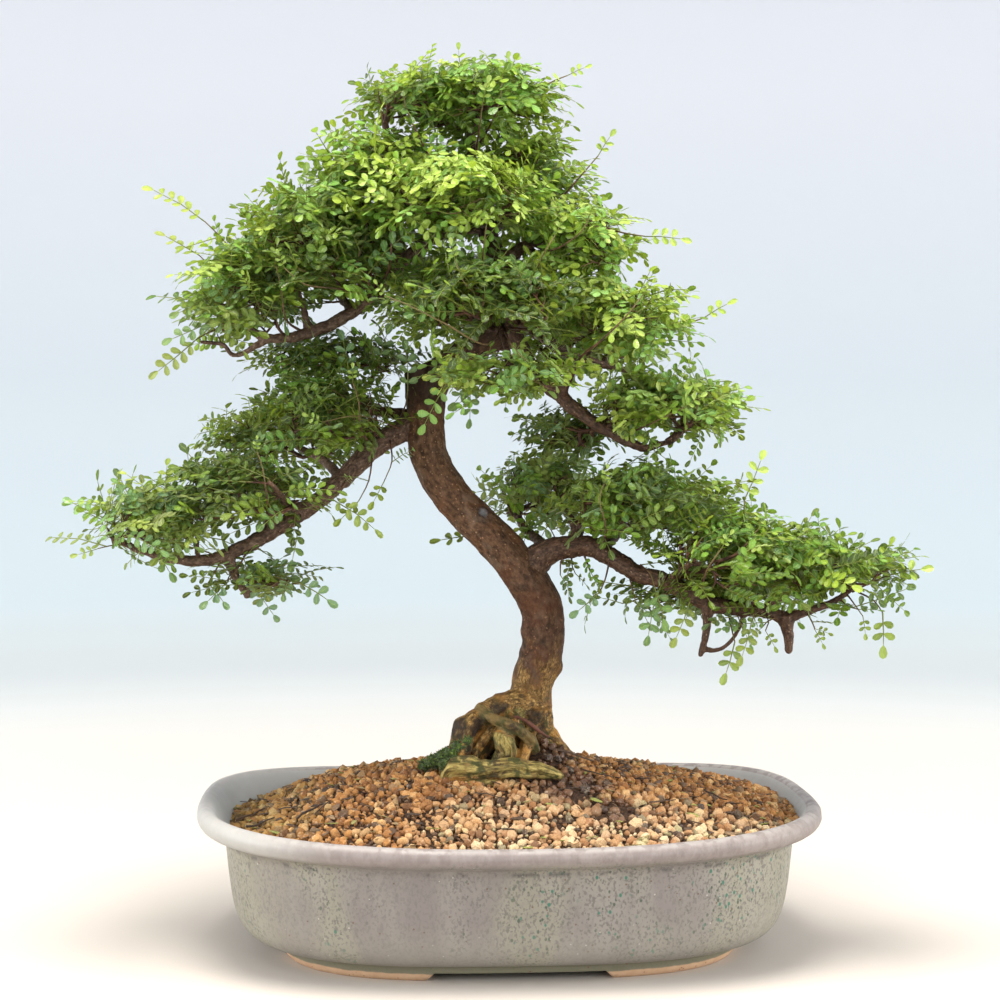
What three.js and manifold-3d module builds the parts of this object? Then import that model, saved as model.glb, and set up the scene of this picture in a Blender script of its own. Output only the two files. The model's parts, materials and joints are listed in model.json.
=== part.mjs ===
// A japanese pepper bonsai in its oval glazed pot. Millimetres, +Z up, the pot's long side along X.
import * as THREE from "three";
import { mergeVertices } from "three/addons/utils/BufferGeometryUtils.js";
import Module from "manifold-3d";

const wasm = await Module();
wasm.setup();

// Sizes of the pot, as half lengths along X and half widths along Y.
const POT_LENGTH = 320;
const POT_WIDTH = 258;
const POT_HEIGHT = 72.5;
const RIM_RISE = 6.5; // the fired rim stands this much higher at the ends than at the middle of the sides
const PLAN_SQUARENESS = 3; // exponent of the rounded oval plan
const POT_SEGMENTS = 48;
const FOOT_HEIGHT = 4.2;
const FOOT_GAP_LENGTH = 85; // free length between the feet on the long sides
const FOOT_GAP_WIDTH = 68; // free length between the feet on the short sides
const FLOOR_TOP = 14.5;
const FLOOR_UNDER = 8;
const DRAIN_RADIUS = 12;
const DRAIN_X = 62;
const MESH_SIDE = 34;
const MESH_THICKNESS = 1.2;
const WIRE_RADIUS = 0.8;
const WIRE_SPREAD = 8; // half the distance between a wire clip's two legs
const WIRE_TAIL = 18; // how far a leg's bent end reaches from the middle of the hole

// Sizes of the soil.
const SOIL_EDGE = 66;
const SOIL_HALF_LENGTH = 147.6;
const SOIL_HALF_WIDTH = 117.2;
const SOIL_CREST = 101;
const SOIL_SWELL = 1.5; // exponent of the mound's slope

const GAP = 0.35; // room kept between neighbouring pieces

const HALF_LENGTH = POT_LENGTH / 2;
const HALF_WIDTH = POT_WIDTH / 2;

function finish(color, roughness) {
  return new THREE.MeshStandardMaterial({ color, roughness, metalness: 0 });
}

const GLAZE = finish(0xa7a39a, 0.35);
const SOIL = finish(0xa9774a, 0.95);
const MOSS = finish(0x55752a, 0.95);
const BARK = finish(0x6a4533, 0.8);
const TWIG_BARK = finish(0x5b3a2b, 0.75);
const LEAF = finish(0x4f8a2a, 0.45);
const YOUNG_LEAF = finish(0x8fb33a, 0.45);
const SHADED_LEAF = finish(0x39661f, 0.5);
const NETTING = finish(0x222222, 0.6);
const WIRE = new THREE.MeshStandardMaterial({ color: 0x8a6a4a, roughness: 0.45, metalness: 0.9 });

// A closed geometry as a solid that can be joined and cut.
function solidOf(geometry) {
  const bare = geometry.clone();
  bare.deleteAttribute("normal");
  bare.deleteAttribute("uv");
  const merged = mergeVertices(bare, 1e-4);
  return new wasm.Manifold(
    new wasm.Mesh({
      numProp: 3,
      vertProperties: new Float32Array(merged.attributes.position.array),
      triVerts: new Uint32Array(merged.index.array),
    }),
  );
}

function geometryOf(solid) {
  const mesh = solid.getMesh();
  const geometry = new THREE.BufferGeometry();
  geometry.setAttribute("position", new THREE.BufferAttribute(new Float32Array(mesh.vertProperties), 3));
  geometry.setIndex(new THREE.BufferAttribute(new Uint32Array(mesh.triVerts), 1));
  return geometry;
}

function join(solids) {
  return solids.reduce((whole, piece) => whole.add(piece));
}

// What is left of a solid after its neighbours are cut out of it, without loose chips.
function carve(solid, neighbours) {
  const left = neighbours.reduce((rest, piece) => rest.subtract(piece), solid);
  return left.decompose().sort((a, b) => b.volume() - a.volume())[0];
}

// A tapered, closed stem through stops [x, y, z, radius]. swell widens and lengthens it all round.
function stem(stops, sides, finesse = 1, swell = 0) {
  const steps = (stops.length - 1) * finesse;
  const curve = new THREE.CatmullRomCurve3(stops.map((s) => new THREE.Vector3(s[0], s[1], s[2])));
  const rings = [];
  const across = new THREE.Vector3(0.31, 0.9, 0.23).cross(curve.getTangent(0)).normalize();
  for (let i = 0; i <= steps; i++) {
    const along = curve.getTangent(i / steps);
    across.addScaledVector(along, -across.dot(along)).normalize();
    const stop = Math.min(Math.floor(i / finesse), stops.length - 2);
    const radius = THREE.MathUtils.lerp(stops[stop][3], stops[stop + 1][3], i / finesse - stop) + swell;
    const centre = curve.getPoint(i / steps);
    if (i === 0) centre.addScaledVector(along, -swell);
    if (i === steps) centre.addScaledVector(along, swell);
    rings.push({ centre, radius, across: across.clone(), beside: across.clone().cross(along) });
  }
  const tube = new THREE.CylinderGeometry(1, 1, 1, sides, steps);
  const place = tube.attributes.position;
  for (let i = 0; i < place.count; i++) {
    const ring = rings[Math.round((place.getY(i) + 0.5) * steps)];
    const spot = ring.centre.clone();
    spot.addScaledVector(ring.across, place.getX(i) * ring.radius);
    spot.addScaledVector(ring.beside, place.getZ(i) * ring.radius);
    place.setXYZ(i, spot.x, spot.y, spot.z);
  }
  return solidOf(tube);
}

// Several stems grown together, as wood and as the wider space that neighbours leave free.
function grown(routes, sides, finesse = 1) {
  return {
    wood: join(routes.map((stops) => stem(stops, sides, finesse))),
    room: join(routes.map((stops) => stem(stops, sides, finesse, GAP))),
  };
}

// A body turned on the pot's rounded oval plan. Its outline is stops [half length, half width, z].
function oval(outline) {
  const turned = new THREE.LatheGeometry(outline.map((p) => new THREE.Vector2(p[0], p[2])), POT_SEGMENTS);
  const place = turned.attributes.position;
  for (let i = 0; i < place.count; i++) {
    const [halfLength, halfWidth, z] = outline[i % outline.length];
    const angle = Math.atan2(place.getZ(i), place.getX(i));
    const x = halfLength * rounded(Math.cos(angle));
    const y = halfWidth * rounded(Math.sin(angle));
    const rise = RIM_RISE * ((x / HALF_LENGTH) ** 2 - 0.5) * (z / POT_HEIGHT) ** 2;
    place.setXYZ(i, x, -y, z + rise);
  }
  return solidOf(turned);
}

function rounded(ratio) {
  return Math.sign(ratio) * Math.abs(ratio) ** (2 / PLAN_SQUARENESS);
}

function boxAt(x, y, z, length, width, height) {
  return solidOf(new THREE.BoxGeometry(length, width, height).translate(x, y, z));
}

function postAt(x, y, z, radius, height) {
  const post = new THREE.CylinderGeometry(radius, radius, height, 20).rotateX(Math.PI / 2);
  return solidOf(post.translate(x, y, z));
}

// Inner face of the wall, from the lip's inside down to the floor.
const INNER_WALL = [
  [148.5, 118, 66],
  [142, 112.6, 58],
  [139, 110.5, 44],
  [135.5, 107.5, 27],
  [126, 99, 17.5],
  [112, 87, FLOOR_TOP],
];

function makePot() {
  const outline = [
    [0, 0, FLOOR_UNDER],
    [106, 86, FLOOR_UNDER],
    [108.5, 88, 0],
    [116, 96, 0],
    [118, 98, 1.2],
    [119, 98.8, 5.4],
    [121, 100, 8],
    [131.5, 106.5, 9.6],
    [139, 111.8, 16],
    [141.6, 114, 25],
    [143.6, 115.5, 36],
    [145.2, 116.6, 48],
    [146, 117.2, 57],
    [146.4, 117.4, 60.4],
    [152, 121.6, 61.4],
    [158, 127, 63.8],
    [HALF_LENGTH, HALF_WIDTH, 67.4],
    [159, 128, 70.6],
    [155.6, 124.6, POT_HEIGHT],
    [151.6, 120.6, 71],
    ...INNER_WALL,
    [0, 0, FLOOR_TOP],
  ];
  const cuts = [
    boxAt(0, 0, FOOT_HEIGHT / 2 - 1, FOOT_GAP_LENGTH, POT_WIDTH, FOOT_HEIGHT + 2),
    boxAt(0, 0, FOOT_HEIGHT / 2 - 1, POT_LENGTH, FOOT_GAP_WIDTH, FOOT_HEIGHT + 2),
  ];
  for (const side of [-1, 1]) {
    cuts.push(postAt(side * DRAIN_X, 0, FLOOR_TOP / 2, DRAIN_RADIUS, 2 * FLOOR_TOP));
  }
  return carve(oval(outline), cuts);
}

// A clip of bent wire whose two legs go down through the drain hole and turn out under the floor.
function wireClip(x, swell = 0) {
  const low = FLOOR_UNDER - WIRE_RADIUS - GAP;
  const high = FLOOR_TOP + MESH_THICKNESS + 3 * GAP + WIRE_RADIUS;
  const bends = [
    [-WIRE_TAIL, low],
    [-WIRE_SPREAD - 1, low],
    [-WIRE_SPREAD, low + 1],
    [-WIRE_SPREAD, high - 1],
    [-WIRE_SPREAD + 1, high],
    [WIRE_SPREAD - 1, high],
    [WIRE_SPREAD, high - 1],
    [WIRE_SPREAD, low + 1],
    [WIRE_SPREAD + 1, low],
    [WIRE_TAIL, low],
  ];
  return stem(bends.map(([along, z]) => [x + along, 0, z, WIRE_RADIUS]), 8, 1, swell);
}

// A square of drainage netting that lies over the hole, pierced by its wire clip.
function drainMesh(x, swell = 0) {
  const z = FLOOR_TOP + GAP + MESH_THICKNESS / 2;
  const side = MESH_SIDE + 2 * swell;
  const sheet = boxAt(x, 0, z, side, side, MESH_THICKNESS + 2 * swell);
  return swell ? sheet : sheet.subtract(wireClip(x, GAP));
}

function makeSoil(neighbours) {
  const wall = INNER_WALL.map(([length, width, z]) => [length - GAP, width - GAP, z + GAP]);
  const inner = wall.slice(1).reverse();
  const top = [1, 0.94, 0.85, 0.74, 0.62, 0.5, 0.38, 0.26, 0.14, 0];
  const mound = top.map((part) => [
    SOIL_HALF_LENGTH * part,
    SOIL_HALF_WIDTH * part,
    SOIL_EDGE + (SOIL_CREST - SOIL_EDGE) * (1 - part ** SOIL_SWELL),
  ]);
  return carve(oval([[0, 0, FLOOR_TOP + GAP], ...inner, ...mound]), neighbours);
}

// A lumpy closed mass, flatter below than above.
function mass(centre, half, lumps, swell = 0) {
  const ball = new THREE.IcosahedronGeometry(1, 1);
  const place = ball.attributes.position;
  const [fx, fy, fz] = lumps;
  for (let i = 0; i < place.count; i++) {
    const [x, y, z] = [place.getX(i), place.getY(i), place.getZ(i)];
    const lump = 1 + 0.09 * Math.sin(fx + 3.1 * x + 2.3 * z) * Math.cos(fy + 2.7 * y + 1.9 * x);
    const drop = z < 0 ? 0.82 : 1 + 0.06 * Math.sin(fz + 2.9 * x);
    place.setXYZ(
      i,
      centre[0] + x * (half[0] * lump + swell),
      centre[1] + y * (half[1] * lump + swell),
      centre[2] + z * (half[2] * lump * drop + swell),
    );
  }
  return solidOf(ball);
}

// The trunk with its exposed roots, one grown piece. Stops are [x, y, z, radius].
const TRUNK_ROUTES = [
  [
    [14, 1, 87, 14.7],
    [13, 0, 112, 12.3],
    [12, -1, 128, 12],
    [17, -3, 145, 11],
    [19, -5, 159, 11],
    [17, -7, 174, 11.2],
    [8, -8, 190, 10.7],
    [-4, -7, 205, 10.4],
    [-19, -4, 220, 10],
    [-32, -1, 235, 9.9],
    [-40, 3, 250, 9.9],
    [-42, 5, 266, 10],
    [-42, 6, 281, 10],
    [-41, 7, 289, 9.5],
  ],
  [
    [-42, 6, 282, 8.4],
    [-32, 6, 298, 8.1],
    [-18, 7, 308, 7.6],
    [-5, 6, 315, 7.1],
    [3, 4, 327, 6.6],
    [3, 0, 339, 5.8],
    [-4, -3, 352, 5.2],
    [-10, -3, 368, 4.4],
    [-15, -2, 385, 3.7],
    [-18, 1, 403, 2.9],
    [-18, 1, 421, 2.4],
    [-11, -1, 436, 1.8],
    [-5, -3, 447, 1],
  ],
  [
    [-45, 6, 283, 7.9],
    [-47, 7, 297, 6.6],
  ],
];

const ROOT_ROUTES = [
  [
    [6, -4, 116, 9.5],
    [-4, -11, 120, 8.8],
    [-13, -16, 116, 8],
    [-22, -21, 109, 7.4],
    [-28, -25, 99, 6.6],
    [-31, -28, 88, 6],
    [-36, -30, 76, 4.1],
  ],
  [
    [9, -8, 112, 12],
    [0, -14, 104, 11],
    [-10, -19, 97, 10],
    [-20, -24, 88, 8],
  ],
  [
    [-17, -22, 117, 2.3],
    [-5, -27, 116, 2.5],
    [6, -24, 111, 2.6],
    [13, -12, 103, 2],
  ],
  [
    [2, -14, 115, 5.5],
    [-1, -24, 105, 5.6],
    [-3, -30, 94, 5],
    [-4, -35, 82, 3.8],
    [-7, -38, 73, 2.3],
  ],
  [
    [-34, -28, 80, 5.1],
    [-25, -33, 90, 7],
    [-12, -38, 92, 5.8],
    [2, -40, 93, 4.6],
    [15, -39, 91, 3.6],
    [26, -36, 87, 2],
  ],
  [
    [17, -3, 111, 6.3],
    [24, -4, 103, 3.9],
    [33, -2, 94, 2.6],
    [43, 1, 85, 1.6],
  ],
  [
    [13, 7, 104, 6.9],
    [20, 23, 97, 4.8],
    [28, 40, 88, 3],
    [34, 56, 78, 1.7],
  ],
];

// The branches, each with its side shoots. The first route of each starts inside what carries it.
const BRANCH_ROUTES = {
  lower_right_branch: [
    [
      [11, -8, 193, 6.2],
      [20, -9, 201, 6.2],
      [36, -12, 205, 5.7],
      [49, -15, 202, 5.2],
      [67, -23, 191, 4.6],
      [81, -27, 187, 4.4],
      [103, -35, 176, 4.3],
      [128, -41, 173, 3.3],
      [139, -42, 170, 3.3],
      [149, -46, 173, 2.3],
      [162, -49, 178, 1.8],
      [171, -51, 184, 1],
    ],
    [
      [101, -35, 176, 2.8],
      [100, -35, 162, 2],
      [97, -34, 150, 1.5],
    ],
    [
      [139, -42, 171, 3.8],
      [141, -42, 160, 2.8],
      [141, -42, 152, 2],
    ],
    [
      [98, -34, 153, 1.1],
      [107, -37, 153, 1.1],
      [114, -41, 161, 1.1],
      [119, -39, 172, 1.3],
    ],
    [
      [33, -11, 204, 3.4],
      [38, -5, 215, 2.9],
      [43, 3, 228, 2.5],
      [46, 7, 239, 1.6],
    ],
    [
      [37, -5, 213, 2.3],
      [32, 6, 222, 1.8],
      [26, 14, 230, 1.3],
    ],
    [
      [48, -15, 202, 3.6],
      [57, 8, 208, 2.9],
      [66, 32, 212, 2.4],
      [81, 57, 216, 1.7],
    ],
    [
      [23, -8, 202, 3.4],
      [17, 19, 207, 2.7],
      [10, 41, 216, 2.2],
      [3, 60, 229, 1.4],
    ],
    [
      [81, -27, 187, 2.8],
      [84, -50, 194, 2],
      [88, -72, 201, 1.2],
    ],
  ],
  lower_left_branch: [
    [
      [-40, 5, 269, 6.3],
      [-53, 6, 265, 6],
      [-68, 4, 257, 5.8],
      [-86, -1, 239, 4.8],
      [-98, -5, 229, 4.5],
      [-109, -7, 221, 4.4],
      [-136, -11, 205, 3.9],
      [-156, -14, 198, 3.1],
      [-180, -16, 201, 2.2],
      [-196, -19, 208, 1.7],
      [-200, -20, 217, 1],
    ],
    [
      [-103, -6, 224, 3.1],
      [-120, -4, 226, 2.6],
      [-136, 1, 225, 2.3],
      [-145, 4, 228, 2.1],
      [-152, 5, 235, 1.3],
    ],
    [
      [-145, -12, 201, 2.8],
      [-139, -15, 188, 2.3],
      [-134, -16, 180, 1.8],
    ],
    [
      [-135, -16, 183, 1.3],
      [-124, -19, 185, 1.1],
      [-113, -21, 188, 1],
    ],
    [
      [-123, -9, 214, 2.1],
      [-124, -6, 228, 1.6],
      [-128, -2, 249, 1.2],
    ],
    [
      [-86, 0, 240, 3.1],
      [-95, 26, 248, 2.4],
      [-108, 55, 255, 1.9],
      [-121, 80, 261, 1.3],
    ],
    [
      [-108, -9, 222, 2.6],
      [-114, -35, 230, 1.8],
      [-121, -57, 239, 1.1],
    ],
  ],
  inner_left_branch: [
    [
      [-43, 7, 270, 3.9],
      [-54, 13, 273, 3.2],
      [-71, 25, 278, 2.7],
      [-82, 38, 296, 1.9],
      [-87, 42, 309, 1.2],
    ],
  ],
  upper_left_branch: [
    [
      [-14, -2, 373, 4.2],
      [-29, 0, 370, 3.8],
      [-42, 1, 363, 3.5],
      [-56, 0, 351, 3.5],
      [-68, -4, 338, 3.5],
      [-80, -7, 326, 3.4],
      [-102, -10, 315, 3],
      [-123, -13, 312, 2.3],
      [-132, -13, 317, 1.8],
      [-139, -13, 329, 1.2],
    ],
    [
      [-123, -13, 312, 1.8],
      [-139, -14, 303, 1.3],
      [-147, -14, 309, 1.2],
      [-157, -15, 310, 1],
    ],
    [
      [-102, -10, 315, 2.1],
      [-107, -7, 332, 1.6],
      [-112, -3, 352, 1.2],
    ],
    [
      [-56, 0, 350, 2.6],
      [-56, 4, 367, 2.1],
      [-60, 8, 385, 1.3],
    ],
    [
      [-80, -6, 326, 2.6],
      [-90, 26, 340, 2.1],
      [-104, 59, 354, 1.4],
    ],
  ],
  upper_right_branch: [
    [
      [2, 5, 322, 4.5],
      [12, -3, 299, 4.1],
      [28, -10, 282, 3.8],
      [43, -14, 270, 3.4],
      [58, -17, 261, 2.8],
      [70, -20, 256, 2.1],
      [83, -22, 259, 1.3],
    ],
    [
      [27, -10, 283, 2.3],
      [37, -16, 301, 1.8],
      [49, -23, 314, 1.4],
      [62, -30, 328, 1.2],
    ],
  ],
  middle_right_branch: [
    [
      [2, 2, 332, 3.9],
      [16, 13, 318, 3.3],
      [33, 22, 307, 2.8],
      [52, 29, 301, 2.2],
      [75, 35, 296, 1.4],
    ],
  ],
  back_branch: [
    [
      [-2, 6, 313, 4.5],
      [2, 32, 312, 3.4],
      [-1, 58, 320, 2.8],
      [-9, 85, 333, 2.3],
      [-16, 109, 344, 1.4],
    ],
  ],
  front_branch: [
    [
      [3, 0, 331, 3.9],
      [-1, -24, 323, 2.6],
      [-5, -46, 313, 2],
      [-2, -68, 299, 1.2],
    ],
  ],
  high_right_branch: [
    [
      [-4, -3, 351, 3.7],
      [9, -9, 360, 2.7],
      [27, -16, 366, 2.1],
      [45, -21, 372, 1.3],
    ],
  ],
  high_back_branch: [
    [
      [-10, -3, 366, 3.7],
      [-4, 22, 373, 2.7],
      [8, 46, 381, 2.2],
      [22, 71, 391, 1.4],
    ],
  ],
  apex_left_branch: [
    [
      [-15, -2, 384, 3.1],
      [-27, -8, 392, 2.2],
      [-43, -13, 397, 1.7],
      [-62, -16, 403, 1.2],
    ],
  ],
};

// The foliage, one mass for each spray of leaves: centre, half sizes and finish.
const SPRAYS = {
  left_tip_leaves: [[-187, -18, 218], [36, 38, 21], YOUNG_LEAF],
  left_middle_leaves: [[-140, -21, 239], [39, 44, 23], LEAF],
  left_inner_leaves: [[-89, -6, 269], [36, 40, 30], SHADED_LEAF],
  left_top_leaves: [[-98, 18, 297], [37, 40, 17], SHADED_LEAF],
  left_under_leaves: [[-127, -14, 187], [31, 30, 13], SHADED_LEAF],
  left_back_leaves: [[-115, 68, 257], [44, 36, 29], LEAF],
  upper_left_tip_leaves: [[-149, -12, 339], [35, 42, 31], YOUNG_LEAF],
  upper_left_middle_leaves: [[-104, -19, 364], [38, 46, 34], LEAF],
  upper_left_back_leaves: [[-104, 61, 364], [43, 36, 33], LEAF],
  shoulder_leaves: [[-67, -12, 400], [36, 46, 25], YOUNG_LEAF],
  apex_leaves: [[-9, -4, 439], [45, 52, 26], YOUNG_LEAF],
  apex_left_leaves: [[-48, -12, 425], [32, 42, 21], YOUNG_LEAF],
  apex_right_leaves: [[19, -3, 402], [27, 42, 20], LEAF],
  crown_front_leaves: [[-22, -49, 377], [43, 38, 25], LEAF],
  crown_back_leaves: [[0, 54, 383], [52, 42, 33], LEAF],
  high_right_leaves: [[49, -17, 360], [39, 48, 28], YOUNG_LEAF],
  centre_front_leaves: [[-8, -62, 326], [39, 40, 25], LEAF],
  front_spray_leaves: [[3, -72, 286], [34, 30, 12], LEAF],
  right_upper_leaves: [[66, -28, 315], [41, 48, 26], LEAF],
  right_back_leaves: [[61, 56, 309], [47, 40, 30], LEAF],
  right_lower_leaves: [[82, -19, 271], [42, 46, 20], LEAF],
  right_hanging_leaves: [[34, 12, 260], [25, 34, 14], SHADED_LEAF],
  centre_back_leaves: [[-23, 92, 333], [42, 38, 34], LEAF],
  behind_trunk_leaves: [[17, 54, 232], [31, 36, 24], SHADED_LEAF],
  low_right_inner_leaves: [[57, -22, 219], [34, 42, 25], SHADED_LEAF],
  low_right_back_leaves: [[91, 52, 213], [41, 34, 25], LEAF],
  low_right_middle_leaves: [[106, -47, 207], [33, 46, 23], LEAF],
  low_right_outer_leaves: [[150, -48, 194], [33, 44, 20], YOUNG_LEAF],
  low_right_tip_leaves: [[188, -51, 189], [21, 30, 17], YOUNG_LEAF],
  low_right_under_leaves: [[51, -18, 182], [25, 25, 12], SHADED_LEAF],
};

const TRUNK_SIDES = 12;
const ROOT_SIDES = 10;
const BRANCH_SIDES = 8;

const bonsai = new THREE.Group();

function addPiece(name, solid, material) {
  const piece = new THREE.Mesh(geometryOf(solid), material);
  piece.name = name;
  bonsai.add(piece);
}

addPiece("pot", makePot(), GLAZE);
const drainage = [];
for (const [side, x] of [["left", -DRAIN_X], ["right", DRAIN_X]]) {
  addPiece(`drain_mesh_${side}`, drainMesh(x), NETTING);
  addPiece(`mesh_wire_${side}`, wireClip(x), WIRE);
  drainage.push(drainMesh(x, GAP), wireClip(x, GAP));
}

const stock = grown(TRUNK_ROUTES, TRUNK_SIDES, 2);
const roots = grown(ROOT_ROUTES, ROOT_SIDES);
addPiece("trunk_with_roots", stock.wood.add(roots.wood), BARK);
const taken = [stock.room.add(roots.room)];

addPiece("soil", makeSoil([...drainage, taken[0]]), SOIL);
const MOSS_PAD = { centre: [-34, -17, 97.5], half: [11, 10, 5.5], lumps: [0.4, 1.2, 2.2] };
const bed = makeSoil([taken[0]]);
const mossPad = mass(MOSS_PAD.centre, MOSS_PAD.half, MOSS_PAD.lumps);
addPiece("moss_patch", carve(mossPad, [taken[0], bed.translate([0, 0, GAP])]), MOSS);

for (const [name, routes] of Object.entries(BRANCH_ROUTES)) {
  const branch = grown(routes, BRANCH_SIDES);
  addPiece(name, carve(branch.wood, taken), TWIG_BARK);
  taken.push(branch.room);
}

Object.entries(SPRAYS).forEach(([name, [centre, half, material]], index) => {
  const lumps = [index * 1.7, index * 0.9, index * 2.3];
  addPiece(name, carve(mass(centre, half, lumps), taken), material);
  taken.push(mass(centre, half, lumps, GAP));
});

// The frame's origin is the middle of the whole outline, at the level that the feet stand on.
const outline = new THREE.Box3().setFromObject(bonsai);
const middle = outline.getCenter(new THREE.Vector3());
bonsai.children.forEach((piece) => piece.position.set(-middle.x, -middle.y, 0));

export default bonsai;
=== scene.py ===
"""A japanese pepper bonsai in its oval glazed pot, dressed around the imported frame.

Lengths that a maker would state are in millimetres, measured from the middle of the pot at the
level that its feet stand on. Meshes are in metres, in the frame's own axes.
"""

from __future__ import annotations

import json
import logging
import math
import random
from dataclasses import dataclass, field
from enum import Enum
from typing import Iterable, Sequence

import bmesh
import bpy
import numpy as np
from mathutils import Matrix, Vector, kdtree, noise

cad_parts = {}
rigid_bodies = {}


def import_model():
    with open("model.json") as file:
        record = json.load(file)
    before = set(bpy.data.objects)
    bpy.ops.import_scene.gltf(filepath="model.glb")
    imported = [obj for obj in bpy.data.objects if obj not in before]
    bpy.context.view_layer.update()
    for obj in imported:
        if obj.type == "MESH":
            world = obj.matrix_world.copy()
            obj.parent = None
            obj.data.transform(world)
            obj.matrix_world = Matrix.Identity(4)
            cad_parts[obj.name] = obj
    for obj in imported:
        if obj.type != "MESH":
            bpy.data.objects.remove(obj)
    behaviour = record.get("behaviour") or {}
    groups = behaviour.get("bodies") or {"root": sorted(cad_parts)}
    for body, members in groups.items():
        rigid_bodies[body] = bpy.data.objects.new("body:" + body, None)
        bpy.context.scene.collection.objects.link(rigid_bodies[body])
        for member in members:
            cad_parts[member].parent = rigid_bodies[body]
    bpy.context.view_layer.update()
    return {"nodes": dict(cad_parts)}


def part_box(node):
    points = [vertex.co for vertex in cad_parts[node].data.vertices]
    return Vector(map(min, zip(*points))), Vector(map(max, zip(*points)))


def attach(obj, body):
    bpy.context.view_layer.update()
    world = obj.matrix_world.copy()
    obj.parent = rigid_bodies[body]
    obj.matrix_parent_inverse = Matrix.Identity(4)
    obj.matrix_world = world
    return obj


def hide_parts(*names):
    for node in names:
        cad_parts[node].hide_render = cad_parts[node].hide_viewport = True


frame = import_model()

LOG = logging.getLogger("bonsai")
GOLDEN_ANGLE = math.radians(137.5)
BALL_VOLUME = 4.19

MM = 0.001
POT_LOW, POT_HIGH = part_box("pot")
POT_MIDDLE = np.array([(POT_LOW.x + POT_HIGH.x) / 2, (POT_LOW.y + POT_HIGH.y) / 2, 0.0])

Colour = tuple[float, float, float]
Stop = tuple[float, float, float, float]
Spot = tuple[float, float, float]
Socket = bpy.types.NodeSocket
Node = bpy.types.Node
Mesh = bpy.types.Mesh
Piece = bpy.types.Object
Material = bpy.types.Material
Bank = bpy.types.Collection


def placed(points: Sequence[Spot] | np.ndarray) -> np.ndarray:
    """Turn points in millimetres from the pot's middle into metres in the frame.

    Args:
        points: Rows of x, y, z in millimetres.

    Returns:
        The same rows in metres, in the frame's axes.
    """
    return np.asarray(points, float) * MM + POT_MIDDLE


def unit(vectors: np.ndarray) -> np.ndarray:
    """Scale each row to length one.

    Args:
        vectors: One vector, or rows of vectors.

    Returns:
        The unit vectors.
    """
    length = np.linalg.norm(vectors, axis=-1, keepdims=True)
    return vectors / np.maximum(length, 1e-12)


def smooth_step(value: np.ndarray | float, low: float, high: float) -> np.ndarray:
    """Rise smoothly from 0 at low to 1 at high.

    Args:
        value: Where to read the step.
        low: Where it starts to rise.
        high: Where it has risen.

    Returns:
        The share at each value.
    """
    part = np.clip((np.asarray(value, float) - low) / (high - low), 0, 1)
    return part * part * (3 - 2 * part)


def lumps(points: np.ndarray, size: float, seed: float, octaves: int = 2) -> np.ndarray:
    """Read a smooth random relief at many points.

    Args:
        points: Rows of x, y, z.
        size: Size of one lump, in the units of points.
        seed: Shift that tells one relief from another.
        octaves: How many finer reliefs lie on the first.

    Returns:
        One value for each point, about -1 to 1.
    """
    scaled = np.asarray(points, float) / size + seed
    return np.array([noise.fractal(Vector(p), 1.0, 2.0, octaves) for p in scaled])


@dataclass
class Skin:
    """Points, faces and point values gathered for one mesh."""

    points: list[np.ndarray] = field(default_factory=list)
    faces: list[tuple[int, ...]] = field(default_factory=list)
    values: dict[str, list[np.ndarray]] = field(default_factory=dict)
    count: int = 0

    def add(self, points: np.ndarray, faces: Iterable[Sequence[int]], **values: np.ndarray) -> None:
        """Add a patch of mesh.

        Args:
            points: Rows of x, y, z.
            faces: Corners of each face, counted from the patch's first point.
            values: Named rows of numbers, one row for each point.
        """
        start = self.count
        self.points.append(np.asarray(points, float))
        self.faces.extend(tuple(int(i) + start for i in face) for face in faces)
        for name, rows in values.items():
            self.values.setdefault(name, []).append(np.asarray(rows, float))
        self.count += len(points)

    def mesh(self, name: str) -> Mesh:
        """Make the gathered patches one smooth mesh.

        Args:
            name: Name of the mesh.

        Returns:
            The mesh, with each value as a point attribute.
        """
        made = bpy.data.meshes.new(name)
        made.from_pydata(np.concatenate(self.points).tolist(), [], self.faces)
        for key, rows in self.values.items():
            write_value(made, key, np.concatenate(rows))
        made.shade_smooth()
        return made


def ring_faces(index: np.ndarray, flip: bool = False) -> list[list[int]]:
    """Join the rings of a grid to one another.

    Args:
        index: Numbers of the grid's points, one row for each ring.
        flip: Whether the faces turn the other way.

    Returns:
        The corners of each face.
    """
    around = np.roll(index, -1, 1)
    corners = [index[:-1], around[:-1], around[1:], index[1:]]
    if flip:
        corners = [corners[0], corners[3], corners[2], corners[1]]
    return np.stack(corners, -1).reshape(-1, 4).tolist()


def run_along(line: np.ndarray) -> np.ndarray:
    """Give how far along a line each of its points lies."""
    return np.concatenate([[0], np.cumsum(np.linalg.norm(np.diff(line, axis=0), axis=1))])


def even_angles(count: int) -> np.ndarray:
    """Give evenly spaced angles round a circle, in radians."""
    return 2 * math.pi * np.arange(count) / count


def bell(value: np.ndarray, width: float = 1.0, power: int = 2) -> np.ndarray:
    """Give 1 where a value is 0, falling off smoothly past the width, more sharply with the power."""
    return np.exp(-((value / width) ** power))


def fan_faces(hub: int, ring: np.ndarray, flip: bool = False) -> list[tuple[int, ...]]:
    """Join a ring of points to a hub, turned the other way if flip is set."""
    pairs = zip(ring, np.roll(ring, -1))
    return [(hub, b, a) if flip else (hub, a, b) for a, b in pairs]


def write_value(mesh: Mesh, name: str, rows: np.ndarray) -> None:
    """Store numbers on the points of a mesh.

    Args:
        mesh: The mesh.
        name: Name of the attribute.
        rows: One number, or three, for each point.
    """
    kind, key = ("FLOAT", "value") if rows.ndim == 1 else ("FLOAT_VECTOR", "vector")
    attribute = mesh.attributes.new(name, kind, "POINT")
    attribute.data.foreach_set(key, rows.astype(np.float32).ravel())


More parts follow.
